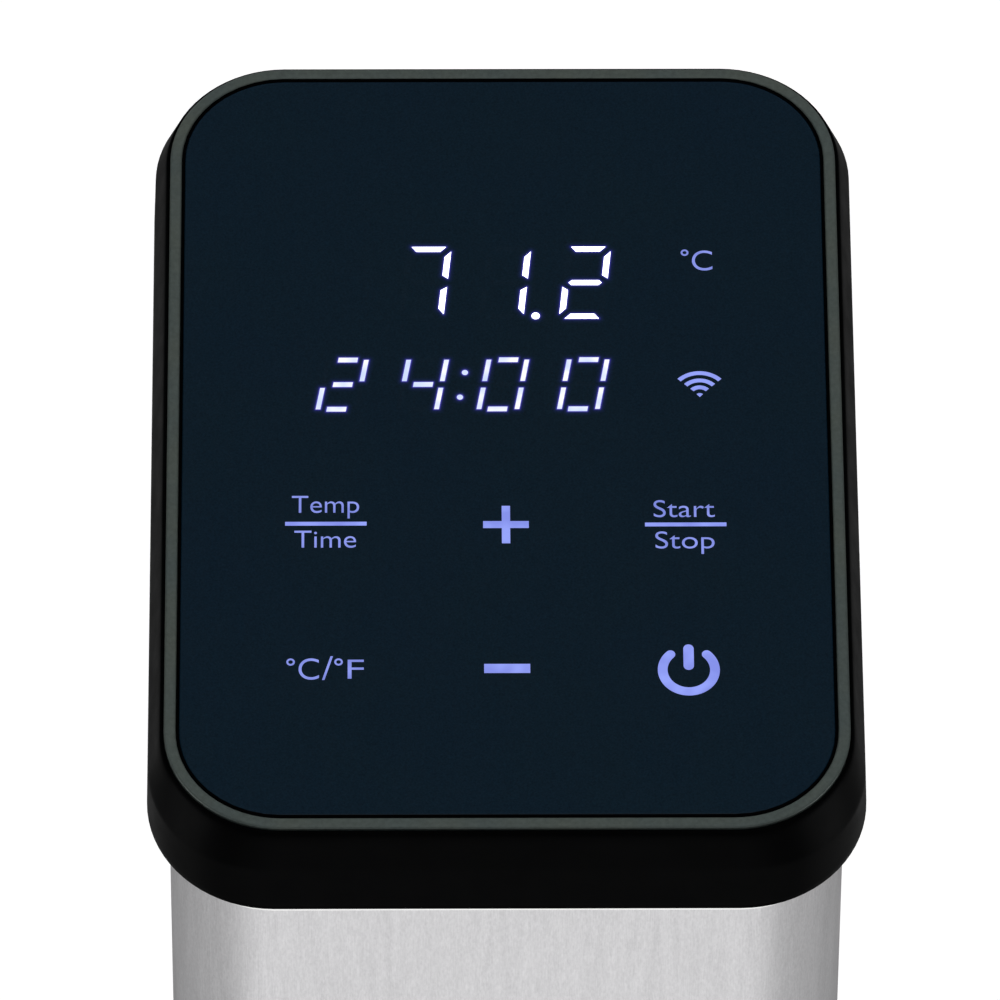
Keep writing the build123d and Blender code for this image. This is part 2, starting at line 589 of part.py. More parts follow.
with BuildPart() as level_rods:
    with BuildSketch(level(ROD_Z0)):
        with Locations((-ROD_X, ROD_Y), (ROD_X, ROD_Y)):
            Circle(ROD_R)
    extrude(amount=ROD_L)
    with BuildSketch(level(BULKHEAD_Z1)):
        with Locations((-ROD_X, ROD_Y), (ROD_X, ROD_Y)):
            Circle(2.4)
    extrude(amount=3)

# ---------------------------------------------------------------------------
# Pump
# ---------------------------------------------------------------------------
BLADES = 6
HUB_R = 5.0
BUSH_R = 4.5
COVER_Z0, COVER_T, EYE_R = 22.5, 1.5, 9.0
SHAFT_BOTTOM, SHAFT_TOP = 20.5, 201.0
SPOUT_W, SPOUT_D, SPOUT_Y = 26.0, 16.0, -28.0
PLATE_W, PLATE_D, PLATE_R = 54.0, 68.0, 16.0

with BuildPart() as pump_housing:
    with BuildSketch(level(PUMP_PLATE_Z)):
        RectangleRounded(PLATE_W, PLATE_D, PLATE_R)
    extrude(amount=PUMP_PLATE_T)
    with BuildSketch(level(VOLUTE_Z0)):
        washer(VOLUTE_R, VOLUTE_R - VOLUTE_WALL)
    extrude(amount=PUMP_PLATE_Z - VOLUTE_Z0)
    with BuildSketch(level(PUMP_PLATE_Z)):
        Circle(BUSH_R + 0.02)
        with Locations(*STAYS):
            Circle(STAY_R + 0.02)
        with GridLocations(44, 30, 2, 2):
            Circle(3)
    extrude(amount=PUMP_PLATE_T, mode=Mode.SUBTRACT)
    # outlet at the front, and a spout that leads to the sleeve's slots
    with BuildSketch(level(VOLUTE_Z0)):
        with Locations((0, SPOUT_Y)):
            Rectangle(SPOUT_W, SPOUT_D)
    extrude(amount=PUMP_PLATE_Z - VOLUTE_Z0)
    with BuildSketch(level(VOLUTE_Z0)):
        with Locations((0, SPOUT_Y + 2)):
            Rectangle(SPOUT_W - 4, SPOUT_D + 14)
        Circle(VOLUTE_R - VOLUTE_WALL)
    extrude(amount=PUMP_PLATE_Z - VOLUTE_Z0, mode=Mode.SUBTRACT)

with BuildPart() as pump_cover:
    with BuildSketch(level(COVER_Z0)):
        Circle(VOLUTE_R)
        with Locations((0, SPOUT_Y)):
            Rectangle(SPOUT_W, SPOUT_D)
        Circle(EYE_R, mode=Mode.SUBTRACT)
    extrude(amount=COVER_T)

with BuildPart() as lower_bush:
    with BuildSketch(level(PUMP_PLATE_Z)):
        washer(BUSH_R, SHAFT_R + RUNNING)
    extrude(amount=7)
    with BuildSketch(level(PUMP_PLATE_Z + PUMP_PLATE_T)):
        washer(BUSH_R + 2, SHAFT_R + RUNNING)
    extrude(amount=1.5)

with BuildPart() as stay_rods:
    with BuildSketch(level(PUMP_PLATE_Z)):
        with Locations(*STAYS):
            Circle(STAY_R)
    extrude(amount=BULKHEAD_Z0 + 6 - PUMP_PLATE_Z)

with BuildPart() as impeller:
    with BuildSketch(level(IMPELLER_Z0)):
        washer(HUB_R, SHAFT_R + 0.01)
    extrude(amount=IMPELLER_Z1 - IMPELLER_Z0)
    with BuildSketch(level(IMPELLER_Z1 - 2)):
        washer(IMPELLER_R, SHAFT_R + 0.01)
    extrude(amount=2)
    with BuildSketch(level(IMPELLER_Z0)):
        with PolarLocations(0, BLADES):
            with BuildLine():
                blade = ThreePointArc((HUB_R - 1, 0), (11.5, 3.2), (IMPELLER_R - 0.3, 0))
                inner = ThreePointArc((HUB_R - 1, -1.6), (11.5, 1.6), (IMPELLER_R - 0.3, -1.6))
                Line(blade @ 0, inner @ 0)
                Line(blade @ 1, inner @ 1)
            make_face()
        Circle(SHAFT_R + 0.01, mode=Mode.SUBTRACT)
    extrude(amount=IMPELLER_Z1 - IMPELLER_Z0 - 2)

with BuildPart() as impeller_nut:
    with BuildSketch(level(SHAFT_BOTTOM + 1.5)):
        RegularPolygon(4.5, 6)
        Circle(SHAFT_R + 0.01, mode=Mode.SUBTRACT)
    extrude(amount=IMPELLER_Z0 - SHAFT_BOTTOM - 1.5)

with BuildPart() as pump_shaft:
    with BuildSketch(level(SHAFT_BOTTOM)):
        Circle(SHAFT_R)
    extrude(amount=SHAFT_TOP - SHAFT_BOTTOM)
    chamfer(pump_shaft.edges().filter_by(GeomType.CIRCLE), length=0.4)

with BuildPart() as upper_bearing:
    with BuildSketch(level(BULKHEAD_Z1 - BEARING_H)):
        washer(BEARING_R, SHAFT_R + RUNNING)
    extrude(amount=BEARING_H)
    with BuildSketch(level(BULKHEAD_Z1 - BEARING_H)):
        washer(6.4, 4.4)
    extrude(amount=0.4, mode=Mode.SUBTRACT)
    with BuildSketch(level(BULKHEAD_Z1)):
        washer(6.4, 4.4)
    extrude(amount=-0.4, mode=Mode.SUBTRACT)

with BuildPart() as shaft_seal:
    with BuildSketch(level(BULKHEAD_Z0)):
        washer(BEARING_R, SHAFT_R + RUNNING)
    extrude(amount=LIP_SEAL_H)
    with BuildSketch(level(BULKHEAD_Z0)):
        washer(6.2, 3.6)
    extrude(amount=3.5, mode=Mode.SUBTRACT)

SLINGER_Z, SLINGER_R = 182.0, 9.0

with BuildPart() as slinger:
    with BuildSketch(level(SLINGER_Z)):
        washer(SLINGER_R, SHAFT_R)
    extrude(amount=1.5)
    with BuildSketch(level(SLINGER_Z)):
        washer(SLINGER_R / 2, SHAFT_R)
    extrude(amount=5)

# ---------------------------------------------------------------------------
# Motor
# ---------------------------------------------------------------------------
MOTOR_WALL = 1.5
MOTOR_BOSS_R = 6.0
BRACKET_TOP = 212.0
BRACKET_T = 2.0
BRACKET_X = 27.0
BRACKET_SCREWS = [(-12.0, 0.0), (12.0, 0.0), (0.0, 12.0)]
COUPLING_Z0, COUPLING_Z1, COUPLING_R = 191.0, 206.0, 6.5
MAGNET_L, MAGNET_INNER_R = 34.0, 13.5
ARMATURE_R, ARMATURE_L, COMMUTATOR_R, COMMUTATOR_L = 12.8, 30.0, 6.0, 9.0

with BuildPart() as motor_bracket:
    with BuildSketch(level(BRACKET_TOP - BRACKET_T)):
        RectangleRounded(2 * BRACKET_X, 40, 3)
        Circle(MOTOR_BOSS_R + 0.2, mode=Mode.SUBTRACT)
        with Locations(*BRACKET_SCREWS):
            Circle(1.6, mode=Mode.SUBTRACT)
    extrude(amount=BRACKET_T)
    with BuildSketch(level(FLOOR_Z1)):
        with GridLocations(2 * BRACKET_X - BRACKET_T, 1, 2, 1):
            Rectangle(BRACKET_T, 26)
    extrude(amount=BRACKET_TOP - BRACKET_T - FLOOR_Z1)
    with BuildSketch(level(FLOOR_Z1)):
        with GridLocations(2 * BRACKET_X + 4, 1, 2, 1):
            Rectangle(8, 26)
    extrude(amount=BRACKET_T)

with BuildPart() as motor_can:
    with BuildSketch(level(MOTOR_Z0)):
        Circle(MOTOR_R)
    extrude(amount=MOTOR_Z1 - MOTOR_Z0)
    with BuildSketch(level(MOTOR_Z0 - 4)):
        Circle(MOTOR_BOSS_R)
    extrude(amount=4)
    with BuildSketch(level(MOTOR_Z0 + MOTOR_WALL)):
        Circle(MOTOR_R - MOTOR_WALL)
    extrude(amount=MOTOR_Z1 - MOTOR_Z0, mode=Mode.SUBTRACT)
    with BuildSketch(level(MOTOR_Z0 - 4)):
        Circle(SHAFT_R + RUNNING)
    extrude(amount=6, mode=Mode.SUBTRACT)
    with BuildSketch(level(MOTOR_Z0)):
        with Locations(*BRACKET_SCREWS):
            Circle(1.52)
    extrude(amount=MOTOR_WALL, mode=Mode.SUBTRACT)

with BuildPart() as motor_magnets:
    with BuildSketch(level(MOTOR_Z0 + 8)):
        washer(MOTOR_R - MOTOR_WALL, MAGNET_INNER_R)
        Rectangle(60, 9, mode=Mode.SUBTRACT)
    extrude(amount=MAGNET_L)

with BuildPart() as motor_armature:
    with BuildSketch(level(MOTOR_Z0 + 10)):
        washer(ARMATURE_R, SHAFT_R)
        with PolarLocations(11.6, 5):
            SlotOverall(5, 1.6, mode=Mode.SUBTRACT)
    extrude(amount=ARMATURE_L)
    with BuildSketch(level(MOTOR_Z0 + 10 + ARMATURE_L)):
        washer(COMMUTATOR_R, SHAFT_R)
    extrude(amount=COMMUTATOR_L)

with BuildPart() as motor_shaft:
    with BuildSketch(level(SHAFT_TOP + 0.5)):
        Circle(SHAFT_R)
    extrude(amount=MOTOR_Z1 + 6 - SHAFT_TOP - 0.5)

with BuildPart() as motor_end_cap:
    with BuildSketch(level(MOTOR_Z1 - 0.5)):
        washer(MOTOR_R - MOTOR_WALL - 0.1, SHAFT_R + RUNNING)
    extrude(amount=0.5)
    with BuildSketch(level(MOTOR_Z1)):
        washer(MOTOR_R, SHAFT_R + RUNNING)
        with Locations((-12, 0), (12, 0)):
            Rectangle(3.1, 1.1, mode=Mode.SUBTRACT)
    extrude(amount=4)

with BuildPart() as shaft_coupling:
    with BuildSketch(level(COUPLING_Z0)):
        washer(COUPLING_R, SHAFT_R)
    extrude(amount=COUPLING_Z1 - COUPLING_Z0)
    with BuildSketch(facing_rear(0, 0, 0)):
        with Locations((0, COUPLING_Z0 + 4), (0, COUPLING_Z1 - 3)):
            Circle(1.2)
    extrude(amount=-COUPLING_R - 1, mode=Mode.SUBTRACT)

# ---------------------------------------------------------------------------
# Power electronics, fan and vent
# ---------------------------------------------------------------------------
SINK_Z0, SINK_Z1, SINK_W, SINK_FINS = 236.0, 276.0, 46.0, 9
SINK_MID_Z = (SINK_Z0 + SINK_Z1) / 2
TRIAC_T, TRIAC_W, TRIAC_H, TRIAC_Z = 4.4, 10.0, 15.0, 256.0
PARTS_Z, COIL_X, CAPACITOR_X, CAPACITOR_R = 291.0, -12.0, 16.0, 7.5
TERMINAL_Z, TERMINAL_PITCH = 212.0, 8.5

with BuildPart() as power_board:
    with BuildSketch(facing_rear(0, BOARD_Y, BOARD_MID_Z)):
        RectangleRounded(BOARD_W, BOARD_H, 2)
        with GridLocations(BOARD_W - 8, BOARD_H - 8, 2, 2):
            Circle(1.7, mode=Mode.SUBTRACT)
    extrude(amount=BOARD_T)

with BuildPart() as power_transformer:
    with BuildSketch(facing_rear(COIL_X, BOARD_Y, PARTS_Z)):
        Rectangle(28, 24)
    extrude(amount=-20)
    with BuildSketch(facing_rear(COIL_X, BOARD_Y - 4, PARTS_Z)):
        Rectangle(20, 30)
    extrude(amount=-12)

with BuildPart() as capacitors:
    with BuildSketch(facing_rear(CAPACITOR_X, BOARD_Y, PARTS_Z + 1)):
        with GridLocations(1, 18, 1, 2):
            Circle(CAPACITOR_R)
    extrude(amount=-22)
    fillet(capacitors.faces().sort_by(Axis.Y)[0].edges(), radius=0.8)

with BuildPart() as terminal_block:
    with BuildSketch(facing_rear(0, BOARD_Y, TERMINAL_Z)):
        Rectangle(26, 10)
    extrude(amount=-9)
    with BuildSketch(facing_rear(0, BOARD_Y - 9, TERMINAL_Z)):
        with GridLocations(TERMINAL_PITCH, 1, 3, 1):
            Circle(2.2)
    extrude(amount=2, mode=Mode.SUBTRACT)

with BuildPart() as triacs:
    with BuildSketch(facing_rear(0, BOARD_Y + BOARD_T, TRIAC_Z)):
        with GridLocations(20, 1, 2, 1):
            Rectangle(TRIAC_W, TRIAC_H)
    extrude(amount=TRIAC_T)

with BuildPart() as heat_sink:
    with BuildSketch(facing_rear(0, BOARD_Y + BOARD_T + TRIAC_T, SINK_MID_Z)):
        Rectangle(SINK_W, SINK_Z1 - SINK_Z0)
    extrude(amount=3)
    with BuildSketch(facing_rear(0, BOARD_Y + BOARD_T + TRIAC_T + 3, SINK_MID_Z)):
        with GridLocations((SINK_W - 1.4) / (SINK_FINS - 1), 1, SINK_FINS, 1):
            Rectangle(1.4, SINK_Z1 - SINK_Z0)
    extrude(amount=9)

with BuildPart() as display_ribbon:
    with BuildSketch(Plane.YZ):
        with BuildLine():
            FilletPolyline((33.5, 312.0), (27.0, 312.0), (27.0, 344.5), radius=2.5)
        trace(line_width=0.8)
    extrude(amount=7, both=True)

FAN_BORE_R, FAN_HUB_R, FAN_BLADES, FAN_HOLES = 18.8, 8.5, 7, 32.0

with BuildPart() as fan_frame:
    with BuildSketch(facing_rear(0, FAN_Y0, VENT_Z)):
        RectangleRounded(FAN_SIZE, FAN_SIZE, 3)
        Circle(FAN_BORE_R, mode=Mode.SUBTRACT)
        with GridLocations(FAN_HOLES, FAN_HOLES, 2, 2):
            Circle(2.1, mode=Mode.SUBTRACT)
    extrude(amount=FAN_DEPTH)
    with BuildSketch(facing_rear(0, FAN_Y0, VENT_Z)):
        Circle(9)
        with PolarLocations(13, 4, start_angle=45):
            Rectangle(13, 2)
    extrude(amount=1.6)

with BuildPart() as fan_rotor:
    with BuildSketch(facing_rear(0, FAN_Y0 + 2, VENT_Z)):
        Circle(FAN_HUB_R)
    extrude(amount=7.4)
    with BuildSketch(facing_rear(0, FAN_Y0 + 2.4, VENT_Z)):
        with PolarLocations(12.8, FAN_BLADES):
            Rectangle(10.4, 1.2)
    extrude(amount=6.6)

LOUVRES, LOUVRE_PITCH, LOUVRE_H = 6, 4.6, 2.4

with BuildPart() as vent_grille:
    with BuildSketch(facing_rear(0, REAR_Y - BODY_T, VENT_Z)):
        RectangleRounded(VENT_W - 0.4, VENT_H - 0.4, 3.8)
    extrude(amount=BODY_T + 0.5)
    with BuildSketch(facing_rear(0, REAR_Y - BODY_T - 1.5, VENT_Z)):
        RectangleRounded(VENT_W + 6, VENT_H + 6, 4)
    extrude(amount=1.5)
    with BuildSketch(facing_rear(0, REAR_Y - BODY_T - 1.5, VENT_Z)):
        with GridLocations(1, LOUVRE_PITCH, 1, LOUVRES):
            SlotOverall(VENT_W - 6, LOUVRE_H)
    extrude(amount=5, mode=Mode.SUBTRACT)

# ---------------------------------------------------------------------------
# Cable gland
# ---------------------------------------------------------------------------
GLAND_THREAD_R, GLAND_HEX_R, GLAND_NOSE_R = 8.0, 12.0, 7.0
DOME_R, DOME_L = 10.0, 14.0

with BuildPart() as cable_gland:
    with BuildSketch(facing_rear(0, REAR_Y - 12, GLAND_Z)):
        washer(GLAND_THREAD_R, GLAND_BORE_R)
    extrude(amount=12)
    with BuildSketch(facing_rear(0, REAR_Y, GLAND_Z)):
        RegularPolygon(GLAND_HEX_R, 6)
        Circle(GLAND_BORE_R, mode=Mode.SUBTRACT)
    extrude(amount=5)
    with BuildSketch(facing_rear(0, REAR_Y + 5, GLAND_Z)):
        washer(GLAND_NOSE_R, GLAND_BORE_R)
    extrude(amount=5)

with BuildPart() as gland_locknut:
    with BuildSketch(facing_rear(0, REAR_Y - BODY_T - 4, GLAND_Z)):
        RegularPolygon(GLAND_HEX_R, 6)
        Circle(GLAND_THREAD_R + 0.02, mode=Mode.SUBTRACT)
    extrude(amount=4)

with BuildPart() as gland_dome:
    with BuildSketch(facing_rear(0, REAR_Y + 5, GLAND_Z)):
        Circle(DOME_R)
    extrude(amount=DOME_L)
    fillet(gland_dome.faces().sort_by(Axis.Y)[-1].edges(), radius=4)
    with BuildSketch(facing_rear(0, REAR_Y + 5, GLAND_Z)):
        Circle(GLAND_NOSE_R + 0.02)
    extrude(amount=5.05, mode=Mode.SUBTRACT)
    with BuildSketch(facing_rear(0, REAR_Y + 5, GLAND_Z)):
        Circle(GLAND_BORE_R)
    extrude(amount=DOME_L, mode=Mode.SUBTRACT)

# ---------------------------------------------------------------------------
# Pot clamp
# ---------------------------------------------------------------------------
ARM_PLATE_T = 7.0
BOSS_OUT = 3.0
INSERT_R, CLAMP_BOSS_R = 6.5, 11.0
KNOB_NECK, KNOB_NECK_R, KNOB_FLUTES, KNOB_FLUTE_R = 4.0, 9.0, 8, 4.2

with BuildPart() as clamp_bracket:
    # side profile: plate under the tray, round outer corner, arm
    with BuildSketch(Plane.YZ):
        with BuildLine():
            FilletPolyline(
                (41.5, TRAY_Z0),
                (41.5, TRAY_Z0 - ARM_PLATE_T),
                (ARM_Y0, TRAY_Z0 - ARM_PLATE_T),
                (ARM_Y0, ARM_Z0),
                (ARM_Y1, ARM_Z0),
                (ARM_Y1, TRAY_Z0),
                radius=(0, 1.5, 5, 0, 0, 8),
                close=True,
            )
        make_face()
    extrude(amount=CLAMP_W / 2, both=True)
    # rounded lower end of the arm
    fillet(clamp_bracket.edges().filter_by(Axis.Y).group_by(Axis.Z)[0], radius=14)
    # boss around the screw
    with BuildSketch(facing_rear(0, ARM_Y0 - BOSS_OUT, CLAMP_SCREW_Z)):
        Circle(CLAMP_BOSS_R)
    extrude(amount=ARM_Y1 - ARM_Y0 + 2 * BOSS_OUT)
    with BuildSketch(facing_rear(0, ARM_Y0 - BOSS_OUT, CLAMP_SCREW_Z)):
        Circle(INSERT_R + 0.02)
    extrude(amount=ARM_Y1 - ARM_Y0 + 2 * BOSS_OUT, mode=Mode.SUBTRACT)
    with BuildSketch(level(TRAY_Z0)):
        with Locations(*CLAMP_SCREWS):
            Circle(2.2)
    extrude(amount=-ARM_PLATE_T, mode=Mode.SUBTRACT)
    with BuildSketch(level(TRAY_Z0 - ARM_PLATE_T)):
        with Locations(*CLAMP_SCREWS):
            Circle(3.8)
    extrude(amount=3.5, mode=Mode.SUBTRACT)

with BuildPart() as clamp_insert:
    with BuildSketch(facing_rear(0, ARM_Y0 - BOSS_OUT, CLAMP_SCREW_Z)):
        washer(INSERT_R, CLAMP_SCREW_R + RUNNING)
    extrude(amount=ARM_Y1 - ARM_Y0 + 2 * BOSS_OUT)

with BuildPart() as clamp_pad:
    with BuildSketch(facing_rear(0, PAD_Y, CLAMP_SCREW_Z)):
        Circle(PAD_R)
    extrude(amount=PAD_T)
    chamfer(clamp_pad.faces().sort_by(Axis.Y)[-1].edges(), length=1.5)
    with BuildSketch(facing_rear(0, PAD_Y + PAD_T, CLAMP_SCREW_Z)):
        Circle(CLAMP_SCREW_R + 3)
    extrude(amount=4)
    with BuildSketch(facing_rear(0, PAD_Y + 1.5, CLAMP_SCREW_Z)):
        Circle(CLAMP_SCREW_R + RUNNING)
    extrude(amount=10, mode=Mode.SUBTRACT)

with BuildPart() as pad_facing:
    with BuildSketch(facing_rear(0, PAD_Y - FACING_T, CLAMP_SCREW_Z)):
        Circle(PAD_R)
    extrude(amount=FACING_T)
    fillet(pad_facing.faces().sort_by(Axis.Y)[0].edges(), radius=1)

with BuildPart() as clamp_screw:
    with BuildSketch(facing_rear(0, PAD_Y + 1.6, CLAMP_SCREW_Z)):
        Circle(CLAMP_SCREW_R)
    extrude(amount=KNOB_Y + KNOB_L - 5 - PAD_Y - 1.6)

with BuildPart() as clamp_knob:
    with BuildSketch(facing_rear(0, KNOB_Y + KNOB_NECK, CLAMP_SCREW_Z)):
        Circle(KNOB_R)
        with PolarLocations(KNOB_R + 1.6, KNOB_FLUTES):
            Circle(KNOB_FLUTE_R, mode=Mode.SUBTRACT)
    extrude(amount=KNOB_L - KNOB_NECK)
    fillet(clamp_knob.faces().sort_by(Axis.Y)[-1].edges(), radius=1.6)
    with BuildSketch(facing_rear(0, KNOB_Y, CLAMP_SCREW_Z)):
        Circle(KNOB_NECK_R)
    extrude(amount=KNOB_NECK)
    with BuildSketch(facing_rear(0, KNOB_Y, CLAMP_SCREW_Z)):
        Circle(CLAMP_SCREW_R)
    extrude(amount=KNOB_L - 5, mode=Mode.SUBTRACT)

# ---------------------------------------------------------------------------
# Screws
# ---------------------------------------------------------------------------
with BuildPart() as small_screws:
    add_screws(
        panel_plane(BOARD_DEPTH + TOUCH_T),
        corners(BOARD_SCREW_X, BOARD_SCREW_Y),
        2.2,
        1.6,
        BOARD_SCREW_R,
        3.6,
    )
    add_screws(
        panel_plane(BOSS_DEPTH + FRAME_FLANGE), corners(BOSS_X, BOSS_Y), 2.75, 2.5, CAP_SCREW_R, 9.0
    )
    add_screws(level(BULKHEAD_Z0), BULKHEAD_SCREWS, 2.7, 2.4, 1.25, 18.8)
    add_screws(level(BRACKET_TOP - BRACKET_T), BRACKET_SCREWS, 2.75, 2.0, 1.5, BRACKET_T + MOTOR_WALL)

with BuildPart() as frame_screws:
    add_screws(level(TRAY_Z0 + 4.4), TRAY_SCREWS, 3.9, 3.6, 1.95, 32.0)

with BuildPart() as clamp_bracket_screws:
    add_screws(level(TRAY_Z0 - ARM_PLATE_T + 3.5), CLAMP_SCREWS, 3.5, 3.0, 1.7, 12.0)

# ---------------------------------------------------------------------------
# Write one file per piece
# ---------------------------------------------------------------------------
pieces = {
    "top_cap": top_cap,
    "glass_rim": glass_rim,
    "glass_panel": glass_panel,
    "glass_gasket": glass_gasket,
    "key_light_guide": key_light_guide,
    "display_module": display_module,
    "touch_board": touch_board,
    "wireless_module": wireless_module,
    "buzzer": buzzer,
    "body_sleeve": body_sleeve,
    "trim_ring": trim_ring,
    "inner_frame": inner_frame,
    "lower_housing": lower_housing,
    "small_screws": small_screws,
    "frame_screws": frame_screws,
    "bulkhead": bulkhead,
    "housing_seals": housing_seals,
    "immersion_sleeve": immersion_sleeve,
    "bottom_cap": bottom_cap,
    "heater_element": heater_element,
    "heater_nuts": heater_nuts,
    "temp_probe": temp_probe,
    "level_rods": level_rods,
    "pump_housing": pump_housing,
    "pump_cover": pump_cover,
    "lower_bush": lower_bush,
    "stay_rods": stay_rods,
    "impeller": impeller,
    "impeller_nut": impeller_nut,
    "pump_shaft": pump_shaft,
    "upper_bearing": upper_bearing,
    "shaft_seal": shaft_seal,
    "slinger": slinger,
    "motor_bracket": motor_bracket,
    "motor_can": motor_can,
    "motor_magnets": motor_magnets,
    "motor_armature": motor_armature,
    "motor_shaft": motor_shaft,
    "motor_end_cap": motor_end_cap,
    "shaft_coupling": shaft_coupling,
    "power_board": power_board,
    "power_transformer": power_transformer,
    "capacitors": capacitors,
    "terminal_block": terminal_block,
    "triacs": triacs,
    "heat_sink": heat_sink,
    "display_ribbon": display_ribbon,
    "fan_frame": fan_frame,
    "fan_rotor": fan_rotor,
    "vent_grille": vent_grille,
    "cable_gland": cable_gland,
    "gland_locknut": gland_locknut,
    "gland_dome": gland_dome,
    "clamp_bracket": clamp_bracket,
    "clamp_bracket_screws": clamp_bracket_screws,
    "clamp_insert": clamp_insert,
    "clamp_pad": clamp_pad,
    "pad_facing": pad_facing,
    "clamp_screw": clamp_screw,
    "clamp_knob": clamp_knob,
}

for name, piece in pieces.items():
    piece.part.label = name
    export_step(piece.part, f"parts/{name}.step")
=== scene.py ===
import json
from math import cos, exp, hypot, radians, sin, tau

import bmesh
import bpy
from mathutils import Matrix, Vector


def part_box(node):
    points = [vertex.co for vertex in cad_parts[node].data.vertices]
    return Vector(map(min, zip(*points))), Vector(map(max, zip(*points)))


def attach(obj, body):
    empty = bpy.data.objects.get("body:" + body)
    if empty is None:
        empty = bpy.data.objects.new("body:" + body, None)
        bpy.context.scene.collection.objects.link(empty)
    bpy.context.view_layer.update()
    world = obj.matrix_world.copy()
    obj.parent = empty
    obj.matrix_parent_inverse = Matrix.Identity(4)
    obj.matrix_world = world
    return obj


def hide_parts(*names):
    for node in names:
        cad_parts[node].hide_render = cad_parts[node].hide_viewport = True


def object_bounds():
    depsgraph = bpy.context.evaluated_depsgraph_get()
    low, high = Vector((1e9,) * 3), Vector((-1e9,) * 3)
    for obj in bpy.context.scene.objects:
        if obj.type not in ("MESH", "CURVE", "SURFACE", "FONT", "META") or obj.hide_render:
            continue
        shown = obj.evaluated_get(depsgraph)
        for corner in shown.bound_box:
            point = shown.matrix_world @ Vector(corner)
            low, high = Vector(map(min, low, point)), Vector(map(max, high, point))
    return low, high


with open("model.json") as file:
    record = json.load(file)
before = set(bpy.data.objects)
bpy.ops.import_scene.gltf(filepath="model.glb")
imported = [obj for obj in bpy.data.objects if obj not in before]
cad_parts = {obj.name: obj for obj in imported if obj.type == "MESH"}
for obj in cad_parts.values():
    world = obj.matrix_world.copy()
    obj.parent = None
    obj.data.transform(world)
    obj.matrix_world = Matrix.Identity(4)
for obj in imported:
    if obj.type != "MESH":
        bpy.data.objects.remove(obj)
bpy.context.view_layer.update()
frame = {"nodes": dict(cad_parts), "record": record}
nodes = frame["nodes"]
MM = 0.001

# ---------------------------------------------------------------------------
# Panel frame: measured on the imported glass, so that it follows the CAD
# ---------------------------------------------------------------------------
PANEL_TILT = radians(10)
ACROSS = Vector((1, 0, 0))
ALONG = Vector((0, cos(PANEL_TILT), sin(PANEL_TILT)))
NORMAL = Vector((0, -sin(PANEL_TILT), cos(PANEL_TILT)))


def extent(node, axis):
    """Lowest and highest reach of a CAD node along an axis."""
    reach = [v.co.dot(axis) for v in nodes[node].data.vertices]
    return min(reach), max(reach)


def plate_top(node):
    """Centre of the upper face of a flat CAD node that lies along the panel."""
    u = sum(extent(node, ACROSS)) / 2
    v = sum(extent(node, ALONG)) / 2
    return ACROSS * u + ALONG * v + NORMAL * extent(node, NORMAL)[1]


GLASS_TOP = plate_top("glass_panel")


def on_panel(u, v, height=0.0):
    """Point over the glass, from millimetres across, along and above it."""
    return GLASS_TOP + (ACROSS * u + ALONG * v + NORMAL * height) * MM


